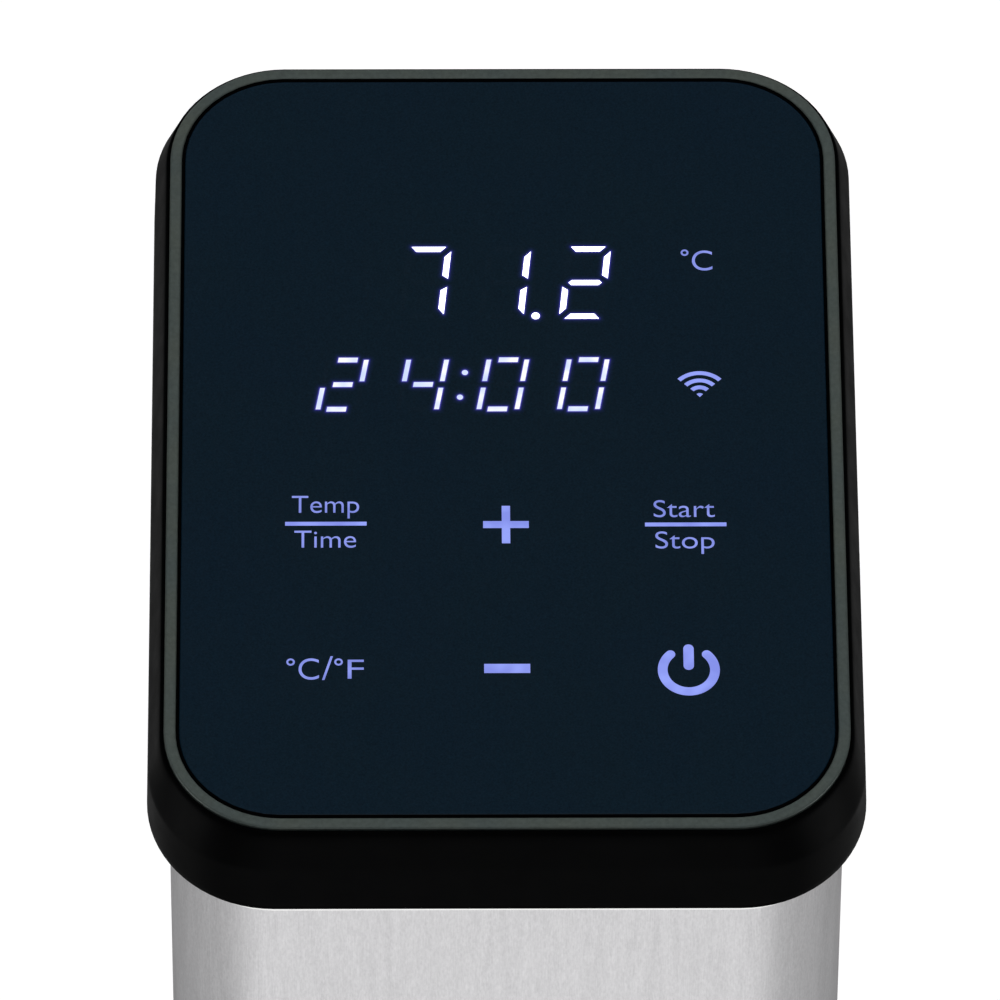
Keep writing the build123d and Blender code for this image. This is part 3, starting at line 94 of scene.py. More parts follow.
# ---------------------------------------------------------------------------
# Material helpers
# ---------------------------------------------------------------------------
class Finish:
    """A Principled material with short calls for its procedural nodes."""

    def __init__(self, name, colour, roughness, metallic=0.0, **sockets):
        self.material = bpy.data.materials.new(name)
        self.material.use_nodes = True
        self.tree = self.material.node_tree
        self.shader = self.tree.nodes["Principled BSDF"]
        self.shader.inputs["Base Color"].default_value = (*colour, 1)
        self.shader.inputs["Roughness"].default_value = roughness
        self.shader.inputs["Metallic"].default_value = metallic
        for socket, value in sockets.items():
            self.shader.inputs[socket.replace("_", " ")].default_value = value
        self.place = self.node("ShaderNodeTexCoord").outputs["Object"]

    def node(self, kind, **settings):
        made = self.tree.nodes.new(kind)
        for key, value in settings.items():
            setattr(made, key, value)
        return made

    def link(self, source, target):
        self.tree.links.new(source, target)

    def noise(self, size, detail=3.0, stretch=(1, 1, 1), roughness=0.6):
        """Noise whose grains are this many millimetres wide, longer where stretch is."""
        mapping = self.node("ShaderNodeMapping")
        mapping.inputs["Scale"].default_value = [1 / (s * size * MM) for s in stretch]
        self.link(self.place, mapping.inputs["Vector"])
        noise = self.node("ShaderNodeTexNoise")
        noise.inputs["Scale"].default_value = 1.0
        noise.inputs["Detail"].default_value = detail
        noise.inputs["Roughness"].default_value = roughness
        self.link(mapping.outputs["Vector"], noise.inputs["Vector"])
        return noise.outputs["Fac"]

    def ramp(self, factor, *stops):
        """Colour ramp from (place, colour) stops."""
        ramp = self.node("ShaderNodeValToRGB")
        points = ramp.color_ramp.elements
        while len(points) < len(stops):
            points.new(1.0)
        for point, (place, colour) in zip(points, stops):
            point.position = place
            point.color = (*colour, 1)
        self.link(factor, ramp.inputs["Fac"])
        return ramp.outputs["Color"]

    def shades(self, factor, dark, pale, low=0.3, high=0.7):
        """Ramp between two shades over the middle of a noise."""
        return self.ramp(factor, (low, dark), (high, pale))

    def span(self, factor, low, high, from_low=0.3, from_high=0.7):
        """The factor mapped to a range of numbers."""
        ranged = self.node("ShaderNodeMapRange")
        ranged.inputs["From Min"].default_value = from_low
        ranged.inputs["From Max"].default_value = from_high
        ranged.inputs["To Min"].default_value = low
        ranged.inputs["To Max"].default_value = high
        self.link(factor, ranged.inputs["Value"])
        return ranged.outputs["Result"]

    def blend(self, factor, first, second, mode="MIX"):
        """Two colour outputs mixed by a factor output or number."""
        mix = self.node("ShaderNodeMix", data_type="RGBA", blend_type=mode)
        if isinstance(factor, float):
            mix.inputs["Factor"].default_value = factor
        else:
            self.link(factor, mix.inputs["Factor"])
        self.link(first, mix.inputs["A"])
        self.link(second, mix.inputs["B"])
        return mix.outputs["Result"]

    def bump(self, height, depth, strength=1.0):
        """Bump of this many millimetres on top of any bump already there."""
        bump = self.node("ShaderNodeBump")
        bump.inputs["Strength"].default_value = strength
        bump.inputs["Distance"].default_value = depth * MM
        self.link(height, bump.inputs["Height"])
        under = self.shader.inputs["Normal"]
        if under.links:
            self.link(under.links[0].from_socket, bump.inputs["Normal"])
        self.link(bump.outputs["Normal"], under)
        return self

    def colour(self, source):
        """Base colour from a colour output."""
        self.link(source, self.shader.inputs["Base Color"])
        return self

    def rough(self, factor, low, high):
        """Roughness between two values, as a noise drives it."""
        self.link(self.span(factor, low, high), self.shader.inputs["Roughness"])
        return self


def tinted(colour, amount):
    """A colour made lighter or darker by a share."""
    return tuple(min(1.0, c * (1 + amount)) for c in colour)


# ---------------------------------------------------------------------------
# Materials, one function per material slot of the record
# ---------------------------------------------------------------------------
def moulded(name, colour, roughness, grain, depth, variation=0.25, specular=0.5):
    """Moulded plastic with an eroded-mould grain and slight cloudiness."""
    finish = Finish(name, colour, roughness, Specular_IOR_Level=specular)
    cloud = finish.noise(14, detail=2)
    finish.colour(finish.shades(cloud, tinted(colour, -variation), tinted(colour, variation)))
    finish.rough(finish.noise(4, detail=4), roughness - 0.05, roughness + 0.06)
    return finish.bump(finish.noise(grain, detail=2), depth)


def cap_plastic():
    """Satin black, with its edges softened as they are out of a mould."""
    finish = moulded("cap_plastic", (0.0009, 0.001, 0.0012), 0.36, 0.16, 0.01, specular=0.02)
    soft = finish.node("ShaderNodeBevel", samples=6)
    soft.inputs["Radius"].default_value = 1.1 * MM
    first_bump = finish.shader.inputs["Normal"].links[0].from_node
    finish.link(soft.outputs["Normal"], first_bump.inputs["Normal"])
    return finish


def housing_plastic():
    finish = moulded("housing_plastic", (0.011, 0.011, 0.012), 0.5, 0.32, 0.03, specular=0.45)
    return finish.bump(finish.noise(3, detail=1), 0.01, 0.4)


def rim_paint():
    colour = (0.088, 0.107, 0.102)
    finish = Finish("rim_paint", colour, 0.38, 0.25, Specular_IOR_Level=0.35)
    mottle = finish.noise(0.5, detail=4)
    drift = finish.noise(9, detail=2)
    fine = finish.shades(mottle, tinted(colour, -0.16), tinted(colour, 0.16))
    cloud = finish.shades(drift, (0.85, 0.9, 0.92), (1.0, 0.98, 0.9))
    finish.colour(finish.blend(1.0, fine, cloud, "MULTIPLY"))
    return finish.bump(mottle, 0.006)


GLASS_NAVY = (0.0034, 0.0125, 0.0235)


def panel_glass(name="panel_glass"):
    finish = Finish(name, GLASS_NAVY, 0.16, Specular_IOR_Level=0.25)
    speck = finish.noise(0.24, detail=4)
    cloud = finish.noise(17, detail=3)
    streak = finish.noise(0.5, detail=2, stretch=(1, 26, 4))
    dark_ink, pale_ink = tinted(GLASS_NAVY, -0.36), tinted(GLASS_NAVY, 0.4)
    print_ink = finish.shades(speck, dark_ink, pale_ink, 0.25, 0.75)
    drift = finish.shades(cloud, (0.9, 0.96, 1.0), (1.0, 1.0, 0.95))
    finish.colour(finish.blend(1.0, print_ink, drift, "MULTIPLY"))
    finish.rough(streak, 0.13, 0.19)
    return finish


def brushed_steel():
    """Vertical hairlines, broken up by the mottle of a dull satin finish."""
    colour = (0.79, 0.783, 0.797)
    finish = Finish("brushed_steel", colour, 0.36, 1.0, Anisotropic=0.7)
    tangent = finish.node("ShaderNodeTangent", direction_type="RADIAL", axis="Z")
    finish.link(tangent.outputs["Tangent"], finish.shader.inputs["Tangent"])
    hairline = finish.noise(0.12, detail=3, stretch=(1, 1, 22))
    mottle = finish.noise(0.22, detail=4, stretch=(1, 1, 2.6))
    stroke = finish.noise(1.1, detail=4, stretch=(1, 1, 14))
    fine = finish.shades(hairline, (0.86, 0.86, 0.86), (1.0, 1.0, 1.0), 0.25, 0.75)
    spots = finish.shades(mottle, (0.85, 0.85, 0.85), (1.0, 1.0, 1.0))
    broad = finish.shades(stroke, tinted(colour, -0.045), tinted(colour, 0.02))
    grain = finish.blend(1.0, fine, spots, "MULTIPLY")
    finish.colour(finish.blend(1.0, grain, broad, "MULTIPLY"))
    finish.rough(stroke, 0.31, 0.43)
    return finish.bump(mottle, 0.003, 0.6)


def polished_steel():
    finish = Finish("polished_steel", (0.84, 0.84, 0.83), 0.14, 1.0)
    scuff = finish.noise(0.7, detail=5)
    finish.colour(finish.shades(scuff, (0.78, 0.78, 0.77), (0.88, 0.88, 0.87)))
    return finish.rough(scuff, 0.08, 0.2).bump(scuff, 0.002)


def zinc_steel():
    finish = Finish("zinc_steel", (0.5, 0.51, 0.5), 0.33, 1.0)
    spangle = finish.noise(2.2, detail=3)
    finish.colour(finish.shades(spangle, (0.42, 0.44, 0.45), (0.56, 0.56, 0.52)))
    return finish.rough(spangle, 0.24, 0.42).bump(finish.noise(0.3), 0.004)


def heater_steel():
    finish = Finish("heater_steel", (0.4, 0.38, 0.36), 0.34, 1.0)
    tint = finish.noise(11, detail=3, stretch=(1, 1, 1.6))
    stops = (0.25, (0.42, 0.41, 0.4)), (0.5, (0.44, 0.37, 0.28)), (0.75, (0.3, 0.29, 0.34))
    finish.colour(finish.ramp(tint, *stops))
    return finish.rough(tint, 0.27, 0.42).bump(finish.noise(0.25), 0.004)


def brass():
    finish = Finish("brass", (0.72, 0.52, 0.22), 0.26, 1.0)
    patina = finish.noise(2.5, detail=4)
    finish.colour(finish.shades(patina, (0.6, 0.42, 0.17), (0.78, 0.58, 0.27)))
    return finish.rough(patina, 0.2, 0.36).bump(finish.noise(0.2), 0.003)


def aluminium():
    finish = Finish("aluminium", (0.66, 0.67, 0.68), 0.36, 1.0)
    draw = finish.noise(0.3, detail=3, stretch=(1, 1, 40))
    finish.colour(finish.shades(draw, (0.58, 0.59, 0.6), (0.7, 0.71, 0.72)))
    return finish.rough(draw, 0.3, 0.46).bump(draw, 0.005)


def inner_plastic():
    return moulded("inner_plastic", (0.16, 0.16, 0.155), 0.5, 0.4, 0.02, variation=0.12)


def light_plastic():
    finish = moulded("light_plastic", (0.72, 0.72, 0.69), 0.42, 0.3, 0.01, variation=0.05)
    finish.shader.inputs["Subsurface Weight"].default_value = 0.2
    finish.shader.inputs["Subsurface Scale"].default_value = 2 * MM
    return finish


def component_black():
    return moulded("component_black", (0.02, 0.02, 0.021), 0.55, 0.25, 0.02)


def magnet():
    finish = moulded("magnet", (0.055, 0.055, 0.058), 0.6, 0.5, 0.05)
    return finish.bump(finish.noise(0.15), 0.01)


def circuit_board():
    """Solder mask over copper tracks, with the bare weave of the board under it."""
    mask, track, cells_per_metre = (0.008, 0.07, 0.028), (0.014, 0.12, 0.045), 420
    finish = Finish("circuit_board", mask, 0.3, Coat_Weight=0.4, Coat_Roughness=0.12)
    mapping = finish.node("ShaderNodeMapping")
    mapping.inputs["Scale"].default_value = (cells_per_metre,) * 3
    finish.link(finish.place, mapping.inputs["Vector"])
    cells = finish.node("ShaderNodeTexVoronoi", feature="DISTANCE_TO_EDGE", distance="EUCLIDEAN")
    finish.link(mapping.outputs["Vector"], cells.inputs["Vector"])
    cells.inputs["Scale"].default_value = 1.0
    line = finish.span(cells.outputs["Distance"], 1, 0, 0.05, 0.09)
    finish.colour(finish.ramp(line, (0.0, mask), (1.0, track)))
    finish.rough(finish.noise(1.5), 0.24, 0.4)
    return finish.bump(line, 0.035).bump(finish.noise(0.5), 0.005)


def rubber(name, colour, grain):
    finish = moulded(name, colour, 0.7, grain, 0.03, variation=0.2, specular=0.35)
    finish.shader.inputs["Sheen Weight"].default_value = 0.12
    return finish


def seal_rubber():
    return rubber("seal_rubber", (0.012, 0.012, 0.012), 0.3)


def pad_rubber():
    return rubber("pad_rubber", (0.03, 0.031, 0.033), 0.22)


def lit(name, core, edge, strength, spread=0.4):
    """Light that comes up through the print, a little uneven over each symbol."""
    finish = Finish(name, (0.01, 0.01, 0.012), 0.2)
    flicker = finish.noise(2.6, detail=1)
    colour = finish.shades(flicker, edge, core, 0.5 - spread / 2, 0.5 + spread / 2)
    finish.link(colour, finish.shader.inputs["Emission Color"])
    finish.shader.inputs["Emission Strength"].default_value = strength
    return finish


def lit_display():
    return lit("lit_display", (0.92, 0.94, 1.0), (0.72, 0.78, 1.0), 0.9)


def glow_glass():
    """The panel's glass where the glow around the digits spreads in it."""
    finish = panel_glass("glow_glass")
    glow = finish.node("ShaderNodeAttribute", attribute_name="glow").outputs["Fac"]
    near, nearer, touching = (0.004, 0.004, 0.036), (0.03, 0.024, 0.24), (0.2, 0.17, 0.85)
    stops = (0.04, (0, 0, 0)), (0.35, near), (0.7, nearer), (1.0, touching)
    finish.link(finish.ramp(glow, *stops), finish.shader.inputs["Emission Color"])
    finish.shader.inputs["Emission Strength"].default_value = 1.0
    return finish


def faint_glow_print():
    """Segments that are off: a faint painted glow, though they are unlit, makes a trace lighter than the
    glass around them.
    """
    finish = panel_glass("off_segment_print_glow")
    # painted glow: the off segments give out a faint blue light of their own, so they show lighter than the
    # glass
    finish.shader.inputs["Emission Color"].default_value = (0.6, 0.7, 1.0, 1)
    finish.shader.inputs["Emission Strength"].default_value = 0.0009
    return finish


def sealant_and_gap_shade():
    """The dark line of sealant between glass and rim, made black and without gloss as painted shade of the
    gap there.
    """
    # painted shade: no gloss at all, so the joint stays as black as the shaded gap it fills
    return moulded("sealant_and_gap_shade", (0.0008, 0.0008, 0.0009), 0.6, 0.3, 0.01, specular=0.0)


MAKERS = [
    cap_plastic, rim_paint, panel_glass, lit_display, brushed_steel, polished_steel,
    housing_plastic, inner_plastic, light_plastic, circuit_board, component_black, zinc_steel,
    heater_steel, brass, aluminium, magnet, seal_rubber, pad_rubber,
]
materials = {make.__name__: make().material for make in MAKERS}

for subpart in frame["record"]["subparts"]:
    mesh = nodes[subpart["node"]].data
    mesh.materials.clear()
    mesh.materials.append(materials[subpart["material_slot"]])


# ---------------------------------------------------------------------------
# Mesh helpers
# ---------------------------------------------------------------------------
def piece(name, mesh, material, body, smooth=35):
    """A finished piece: its object, material, body and slot."""
    made = bpy.data.objects.new(name, mesh)
    bpy.context.scene.collection.objects.link(made)
    mesh.materials.clear()
    mesh.materials.append(material)
    if smooth:
        mesh.shade_smooth()
        mesh.set_sharp_from_angle(angle=radians(smooth))
    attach(made, body)
    return made


def finish_mesh(bm, name):
    """The bmesh as a mesh, with its faces turned outwards."""
    bmesh.ops.remove_doubles(bm, verts=bm.verts, dist=1e-7)
    bmesh.ops.recalc_face_normals(bm, faces=bm.faces)
    mesh = bpy.data.meshes.new(name)
    bm.to_mesh(mesh)
    bm.free()
    return mesh


def prism(bm, outline, low, high, place):
    """A closed plate over a flat outline; place turns (u, v, height) into a point."""
    under = [bm.verts.new(place(u, v, low)) for u, v in outline]
    over = [bm.verts.new(place(u, v, high)) for u, v in outline]
    bm.faces.new(over)
    bm.faces.new(under[::-1])
    for i in range(len(outline)):
        j = (i + 1) % len(outline)
        bm.faces.new((under[i], under[j], over[j], over[i]))


def skin(bm, rings, closed):
    """Faces between rings of points. Closed joins the last ring to the first; else both ends are capped."""
    loops = [[bm.verts.new(point) for point in ring] for ring in rings]
    following = loops[1:] + (loops[:1] if closed else [])
    for here, there in zip(loops, following):
        for i in range(len(here)):
            j = (i + 1) % len(here)
            bm.faces.new((here[i], here[j], there[j], there[i]))
    if not closed:
        bm.faces.new(loops[0])
        bm.faces.new(loops[-1])


# ---------------------------------------------------------------------------
# Lit symbols: thin plates in the surface of the glass
# ---------------------------------------------------------------------------
# how far a symbol reaches into the glass and stands out of it, in mm
SINK, RISE, UNLIT_RISE = -0.1, 0.03, 0.02
WHITE, SNOW, ICE = (1.0, 1.0, 1.0), (0.9, 0.92, 1.0), (0.6, 0.7, 1.0)
PERIWINKLE, PERIWINKLE_DIM = (0.30, 0.37, 0.97), (0.23, 0.28, 0.82)
WORD_BLUE, WORD_DIM = (0.27, 0.33, 0.88), (0.2, 0.25, 0.72)
temperature_light = lit("temperature_light", WHITE, SNOW, 3.0).material
time_light = lit("time_light", WHITE, ICE, 1.05, 0.3).material
key_light = lit("key_light", PERIWINKLE, PERIWINKLE_DIM, 1.0, 0.3).material
word_light = lit("word_light", WORD_BLUE, WORD_DIM, 1.0, 0.3).material
off_segment_print_glow = faint_glow_print().material
glow_material = glow_glass().material

DIGIT_PITCH = 9.4
# which segments of a digit are lit, from a at the top clockwise to f, and g in the middle
SEGMENTS = {"0": "abcdef", "1": "bc", "2": "abged", "4": "fgbc", "7": "abc"}


def mitred_digit(width, height, stroke, upright):
    """Segments with mitred ends, as outlines from the lower left corner."""
    mid, left, right_end, cut = height / 2, 0.5, 0.67, 0.62
    top = [(left, height), (width - right_end, height), (width - right_end - cut, height - stroke)]
    top.append((left + cut, height - stroke))
    end, slope, outer_gap, inner_gap = 0.7, 0.8, 0.63, 1.1
    right = [(width, height - end), (width, mid + outer_gap), (width - upright, mid + inner_gap)]
    right.append((width - upright, height - end - slope))
    tip, half = 0.66, stroke / 2
    middle = [(tip, mid), (tip + half, mid + half), (width - tip - half, mid + half)]
    middle += [(width - tip, mid), (width - tip - half, mid - half), (tip + half, mid - half)]
    return turned_segments(top, right, middle, width, height)


def plain_digit(width, height, stroke, upright):
    """Segments with square ends, as outlines from the lower left corner."""
    left, right_end, mid, half, gap = 1.43, 1.3, height / 2, stroke / 2, 0.5
    top = [(left, height), (width - right_end, height)]
    top += [(width - right_end, height - stroke), (left, height - stroke)]
    right = [(width, height - half), (width, mid + gap), (width - upright, mid + gap)]
    right.append((width - upright, height - half))
    middle = [(left, mid + half), (width - right_end, mid + half)]
    middle += [(width - right_end, mid - half), (left, mid - half)]
    return turned_segments(top, right, middle, width, height)


def turned_segments(top, right, middle, width, height):
    """The seven segments, from the three that the others repeat."""

    def half_turn(points):
        return [(width - x, height - y) for x, y in points]

    def over(points):
        return [(x, height - y) for x, y in points]

    return {
        "a": top, "b": right, "c": over(right), "d": half_turn(top),
        "e": half_turn(right), "f": half_turn(over(right)), "g": middle,
    }


def digit_row(text, shapes, lean, left, base):
    """Lit and unlit outlines of a row of leaning digits."""
    lit_outlines, unlit_outlines = [], []
    for column, digit in enumerate(text):
        for key, points in shapes.items():
            x0 = left + column * DIGIT_PITCH
            outline = [(x0 + x + lean * y, base + y) for x, y in points]
            on = key in SEGMENTS.get(digit, "")
            (lit_outlines if on else unlit_outlines).append(outline)
    return lit_outlines, unlit_outlines


def disc(u, v, radius, steps=28):
    """Points around a circle."""
    angles = [tau * i / steps for i in range(steps)]
    return [(u + radius * cos(a), v + radius * sin(a)) for a in angles]


def arc_points(u, v, radius, start, stop, steps):
    """Points on an arc, with angles in degrees clockwise from straight up."""
    angles = [radians(start + (stop - start) * i / steps) for i in range(steps + 1)]
    return [(u + radius * sin(a), v + radius * cos(a)) for a in angles]


def arc_band(u, v, outer, inner, start, stop, steps=24):
    """Arc band with square ends."""
    return arc_points(u, v, outer, start, stop, steps) + arc_points(u, v, inner, stop, start, steps)


def round_band(u, v, outer, inner, start, stop):
    """Arc band with round ends."""
    middle, half, arc_steps, end_steps = (outer + inner) / 2, (outer - inner) / 2, 48, 10

    def round_end(angle, first):
        end_u, end_v = u + middle * sin(radians(angle)), v + middle * cos(radians(angle))
        return arc_points(end_u, end_v, half, first, first + 180, end_steps)[1:-1]

    outline = arc_points(u, v, outer, start, stop, arc_steps) + round_end(stop, stop)
    outline += arc_points(u, v, inner, stop, start, arc_steps)
    return outline + round_end(start, start + 180)


def bar(u, v, width, height):
    """Corners of an upright rectangle about its middle."""
    w, h = width / 2, height / 2
    return [(u - w, v - h), (u + w, v - h), (u + w, v + h), (u - w, v + h)]


def plus(u, v, reach, stroke):
    """Corners of a plus sign about its middle."""
    r, s = reach / 2, stroke / 2
    quarter = [(s, s), (s, r), (-s, r)]
    turns = [(1, 0), (0, 1), (-1, 0), (0, -1)]
    return [(u + x * c - y * k, v + x * k + y * c) for c, k in turns for x, y in quarter]


def symbol(name, outlines, material, high=RISE):
    """Flat outlines on the glass, raised into one piece."""
    bm = bmesh.new()
    for outline in outlines:
        prism(bm, outline, SINK, high, on_panel)
    return piece(name, finish_mesh(bm, name), material, "head", smooth=0)


def reach_of(outlines, margin):
    """Box around outlines, grown by a margin."""
    us = [u for outline in outlines for u, _ in outline]
    vs = [v for outline in outlines for _, v in outline]
    return min(us) - margin, max(us) + margin, min(vs) - margin, max(vs) + margin


def gap_to(outline, u, v):
    """Distance from a point to a convex outline, nothing inside it."""
    nearest, sides = 1e9, set()
    for (au, av), (bu, bv) in zip(outline, outline[1:] + outline[:1]):
        du, dv = bu - au, bv - av
        along = max(0.0, min(1.0, ((u - au) * du + (v - av) * dv) / (du * du + dv * dv)))
        nearest = min(nearest, hypot(u - au - along * du, v - av - along * dv))
        sides.add(du * (v - av) - dv * (u - au) > 0)
    return nearest if len(sides) > 1 else 0.0


# how fast the glow fades, how far its film goes, and the film's grid and height, in mm
GLOW_REACH, GLOW_MARGIN, GLOW_STEP, GLOW_HEIGHT = 0.24, 1.0, 0.12, 0.012


def glow_film(name, outlines):
    """A film over the glass that knows, at each point, how near the lit segments are."""
    u0, u1, v0, v1 = reach_of(outlines, GLOW_MARGIN)
    columns, rows = int((u1 - u0) / GLOW_STEP) + 1, int((v1 - v0) / GLOW_STEP) + 1
    boxes = [(reach_of([outline], GLOW_MARGIN), outline) for outline in outlines]
    bm = bmesh.new()
    layer = bm.verts.layers.float.new("glow")
    grid = []
    for row in range(rows + 1):
        line = []
        for column in range(columns + 1):
            u, v = u0 + (u1 - u0) * column / columns, v0 + (v1 - v0) * row / rows
            near = [gap_to(outline, u, v) for box, outline in boxes
                    if box[0] < u < box[1] and box[2] < v < box[3]]
            vert = bm.verts.new(on_panel(u, v, GLOW_HEIGHT))
            vert[layer] = exp(-min(near) / GLOW_REACH) if near else 0.0
            line.append(vert)
        grid.append(line)
    for below, above in zip(grid, grid[1:]):
        for i in range(columns):
            bm.faces.new((below[i], below[i + 1], above[i + 1], above[i]))
    mesh = bpy.data.meshes.new(name)
    bm.to_mesh(mesh)
    bm.free()
    return piece(name, mesh, glow_material, "head", smooth=0)


def ring_symbol(name, u, v, outer, inner, material):
    """A flat ring, as in a degree sign."""
    bm = bmesh.new()
    section = (inner, SINK), (inner, RISE), (outer, RISE), (outer, SINK)
    skin(bm, [[on_panel(x, y, height) for x, y in disc(u, v, radius)] for radius, height in section], True)
    return piece(name, finish_mesh(bm, name), material, "head", smooth=0)


# thinning of the letter strokes and thickness of the text, for letters one unit high
LETTER_THINNING, LETTER_DEPTH = -0.007, 0.01


def lettering(name, text, left, right, baseline, cap_height, material):
    """Plain lettering stretched between two edges, with capitals of this height, in mm."""
    curve = bpy.data.curves.new(name, "FONT")
    curve.body = text
    curve.size = 1.0
    curve.extrude = LETTER_DEPTH
    curve.offset = LETTER_THINNING
    writer = bpy.data.objects.new(name, curve)
    bpy.context.scene.collection.objects.link(writer)
    bpy.context.view_layer.update()
    mesh = bpy.data.meshes.new_from_object(writer)
    bpy.data.objects.remove(writer)
    xs = [v.co.x for v in mesh.vertices]
    top = max(v.co.y for v in mesh.vertices)
    scale = (right - left) / (max(xs) - min(xs))
    for v in mesh.vertices:
        along = v.co.y * cap_height / top
        across = left + (v.co.x - min(xs)) * scale
        v.co = on_panel(across, baseline + along, RISE if v.co.z > 0 else SINK)
    mesh.name = name
    return piece(name, mesh, material, "head", smooth=0)


BIG_DIGIT = mitred_digit(width=5.2, height=10.5, stroke=0.7, upright=0.68)
SMALL_DIGIT = plain_digit(width=4.98, height=7.75, stroke=0.65, upright=0.54)
temperature_on, temperature_off = digit_row("712", BIG_DIGIT, lean=0.1, left=-12.35, base=17.54)
time_on, time_off = digit_row("2400", SMALL_DIGIT, lean=0.17, left=-22.13, base=4.15)
POINT_R, COLON_R = 0.47, 0.35
temperature_on.append(disc(3.72, 17.95, POINT_R))
time_on += [disc(-4.62, 9.74, COLON_R), disc(-5.22, 6.18, COLON_R)]
symbol("temperature_digits", temperature_on, temperature_light)
symbol("time_digits", time_on, time_light)
# the off segments carry a faint painted glow
symbol("temperature_unlit", temperature_off, off_segment_print_glow, high=UNLIT_RISE)
symbol("time_unlit", time_off, off_segment_print_glow, high=UNLIT_RISE)
glow_film("temperature_glow", temperature_on)
glow_film("time_glow", time_on)

SIGN_WIDTH = 5.3
symbol("key_plus", [plus(0.04, -12.07, SIGN_WIDTH, 0.97)], key_light)
symbol("key_minus", [bar(0.05, -32.35, SIGN_WIDTH, 1.26)], key_light)
POWER_U, POWER_V, POWER_OUTER, POWER_INNER, POWER_GAP = 20.95, -32.6, 3.57, 2.45, 44
BAR_R, BAR_LOW, BAR_HIGH = 0.6, 0.6, 2.95
power_ring = round_band(POWER_U, POWER_V, POWER_OUTER, POWER_INNER, POWER_GAP, 360 - POWER_GAP)
power_bar = arc_points(POWER_U, POWER_V + BAR_HIGH, BAR_R, -90, 90, 12)
power_bar += arc_points(POWER_U, POWER_V + BAR_LOW, BAR_R, 90, 270, 12)
symbol("key_power", [power_ring, power_bar], key_light)
RULE_LENGTH, RULE_STROKE = 9.45, 0.52
symbol("rule_start_stop", [bar(20.9, -12.1, RULE_LENGTH, RULE_STROKE)], key_light)
symbol("rule_temp_time", [bar(-20.85, -11.9, RULE_LENGTH, RULE_STROKE)], key_light)
WORD_CAPITAL = 2.4
lettering("word_temp", "Temp", -24.8, -17.0, -10.35, WORD_CAPITAL, word_light)
lettering("word_time", "Time", -24.5, -17.35, -15.3, WORD_CAPITAL, word_light)
lettering("word_start", "Start", 17.2, 24.3, -11.05, WORD_CAPITAL, word_light)
lettering("word_stop", "Stop", 17.35, 24.2, -15.5, WORD_CAPITAL, word_light)
lettering("unit_c", "C", 22.2, 24.6, 24.55, 2.9, word_light)
ring_symbol("unit_degree", 21.35, 27.15, 0.46, 0.24, word_light)
lettering("unit_key_c", "C", -23.95, -21.6, -33.85, 2.95, word_light)
lettering("unit_key_f", "F", -18.3, -16.45, -33.75, 2.65, word_light)
slash = [(-21.25, -33.9), (-20.97, -33.9), (-20.0, -30.6), (-20.28, -30.6)]
symbol("unit_key_slash", [slash], word_light)
ring_symbol("unit_key_degree_1", -24.87, -31.4, 0.49, 0.27, word_light)
ring_symbol("unit_key_degree_2", -19.35, -31.4, 0.49, 0.27, word_light)
SIGNAL_U, SIGNAL_V, WAVE_STROKE, WAVE_HALF = 22.82, 6.3, 0.52, 46
WAVES = (3.56, 2.5, 1.5)
SOURCE_V, SOURCE_R, SOURCE_HALF = SIGNAL_V - 0.15, 0.55, 42
signal = [arc_band(SIGNAL_U, SIGNAL_V, r, r - WAVE_STROKE, -WAVE_HALF, WAVE_HALF) for r in WAVES]
source = arc_points(SIGNAL_U, SOURCE_V, SOURCE_R, -SOURCE_HALF, SOURCE_HALF, 8)
signal.append([(SIGNAL_U, SOURCE_V)] + source)
symbol("icon_signal", signal, key_light)


# ---------------------------------------------------------------------------
# Seal around the glass, and the turned pieces of the clamp and cable gland
# ---------------------------------------------------------------------------
def rounded(width, length, radius, steps=10):
    """Points around a rounded rectangle."""
    half_w, half_l = width / 2 - radius, length / 2 - radius
    signs = ((1, 1), (-1, 1), (-1, -1), (1, -1))
    points = []
    for quarter, (x, y) in enumerate(signs):
        for i in range(steps + 1):
            angle = tau / 4 * (quarter + i / steps)
            points.append((x * half_w + radius * cos(angle), y * half_l + radius * sin(angle)))
    return points


# outline of the gap between glass and rim: width, length and corner radius; the dark seal, which also
# paints the shade of the gap, is broader at the front and back than along the sides
SEAL_OUTER, SEAL_SIDE, SEAL_END = (75.97, 105.97, 12.08), 0.24, 0.4
SEAL_DEEP, SEAL_HIGH = 0.35, 0.03


def glass_seal_and_gap_shade():
    """The dark line around the glass, inside the rim: a sealant joint that also stands in as painted shade
    of the gap.
    """
    width, length, radius = SEAL_OUTER
    outer = rounded(width, length, radius)
    inner = rounded(width - 2 * SEAL_SIDE, length - 2 * SEAL_END, radius - SEAL_SIDE)
    bm = bmesh.new()
    sections = ((outer, -SEAL_DEEP), (outer, SEAL_HIGH), (inner, SEAL_HIGH), (inner, -SEAL_DEEP))
    skin(bm, [[on_panel(u, v, h) for u, v in ring] for ring, h in sections], True)
    piece("glass_seal_and_gap_shade", finish_mesh(bm, "glass_seal_and_gap_shade"), sealant_and_gap_shade().material, "head")


def middle_of(node):
    """The line along Y through the middle of a node, as its x and z in metres."""
    low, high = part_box(node)
    return (low[0] + high[0]) / 2, (low[2] + high[2]) / 2


def ring_about(middle, y, radii):
    """Ring of points at y about this line, one for each radius, in mm."""
    x, z = middle
    ring = []
    for i, radius in enumerate(radii):
        angle, r = tau * i / len(radii), radius * MM
        ring.append((x + r * cos(angle), y * MM, z + r * sin(angle)))
    return ring


def around(node, profile, steps, lobes=0, depth=0.0, shape=1.5):
    """Rings about the middle of a node that lies along Y, from (y, radius, lobe strength) in mm."""
    middle = middle_of(node)
    waves = [((1 + cos(lobes * (tau * i / steps))) / 2) ** shape for i in range(steps)]
    rings = []
    for y, radius, strength in profile:
        rings.append(ring_about(middle, y, [radius - depth * strength * wave for wave in waves]))
    return rings


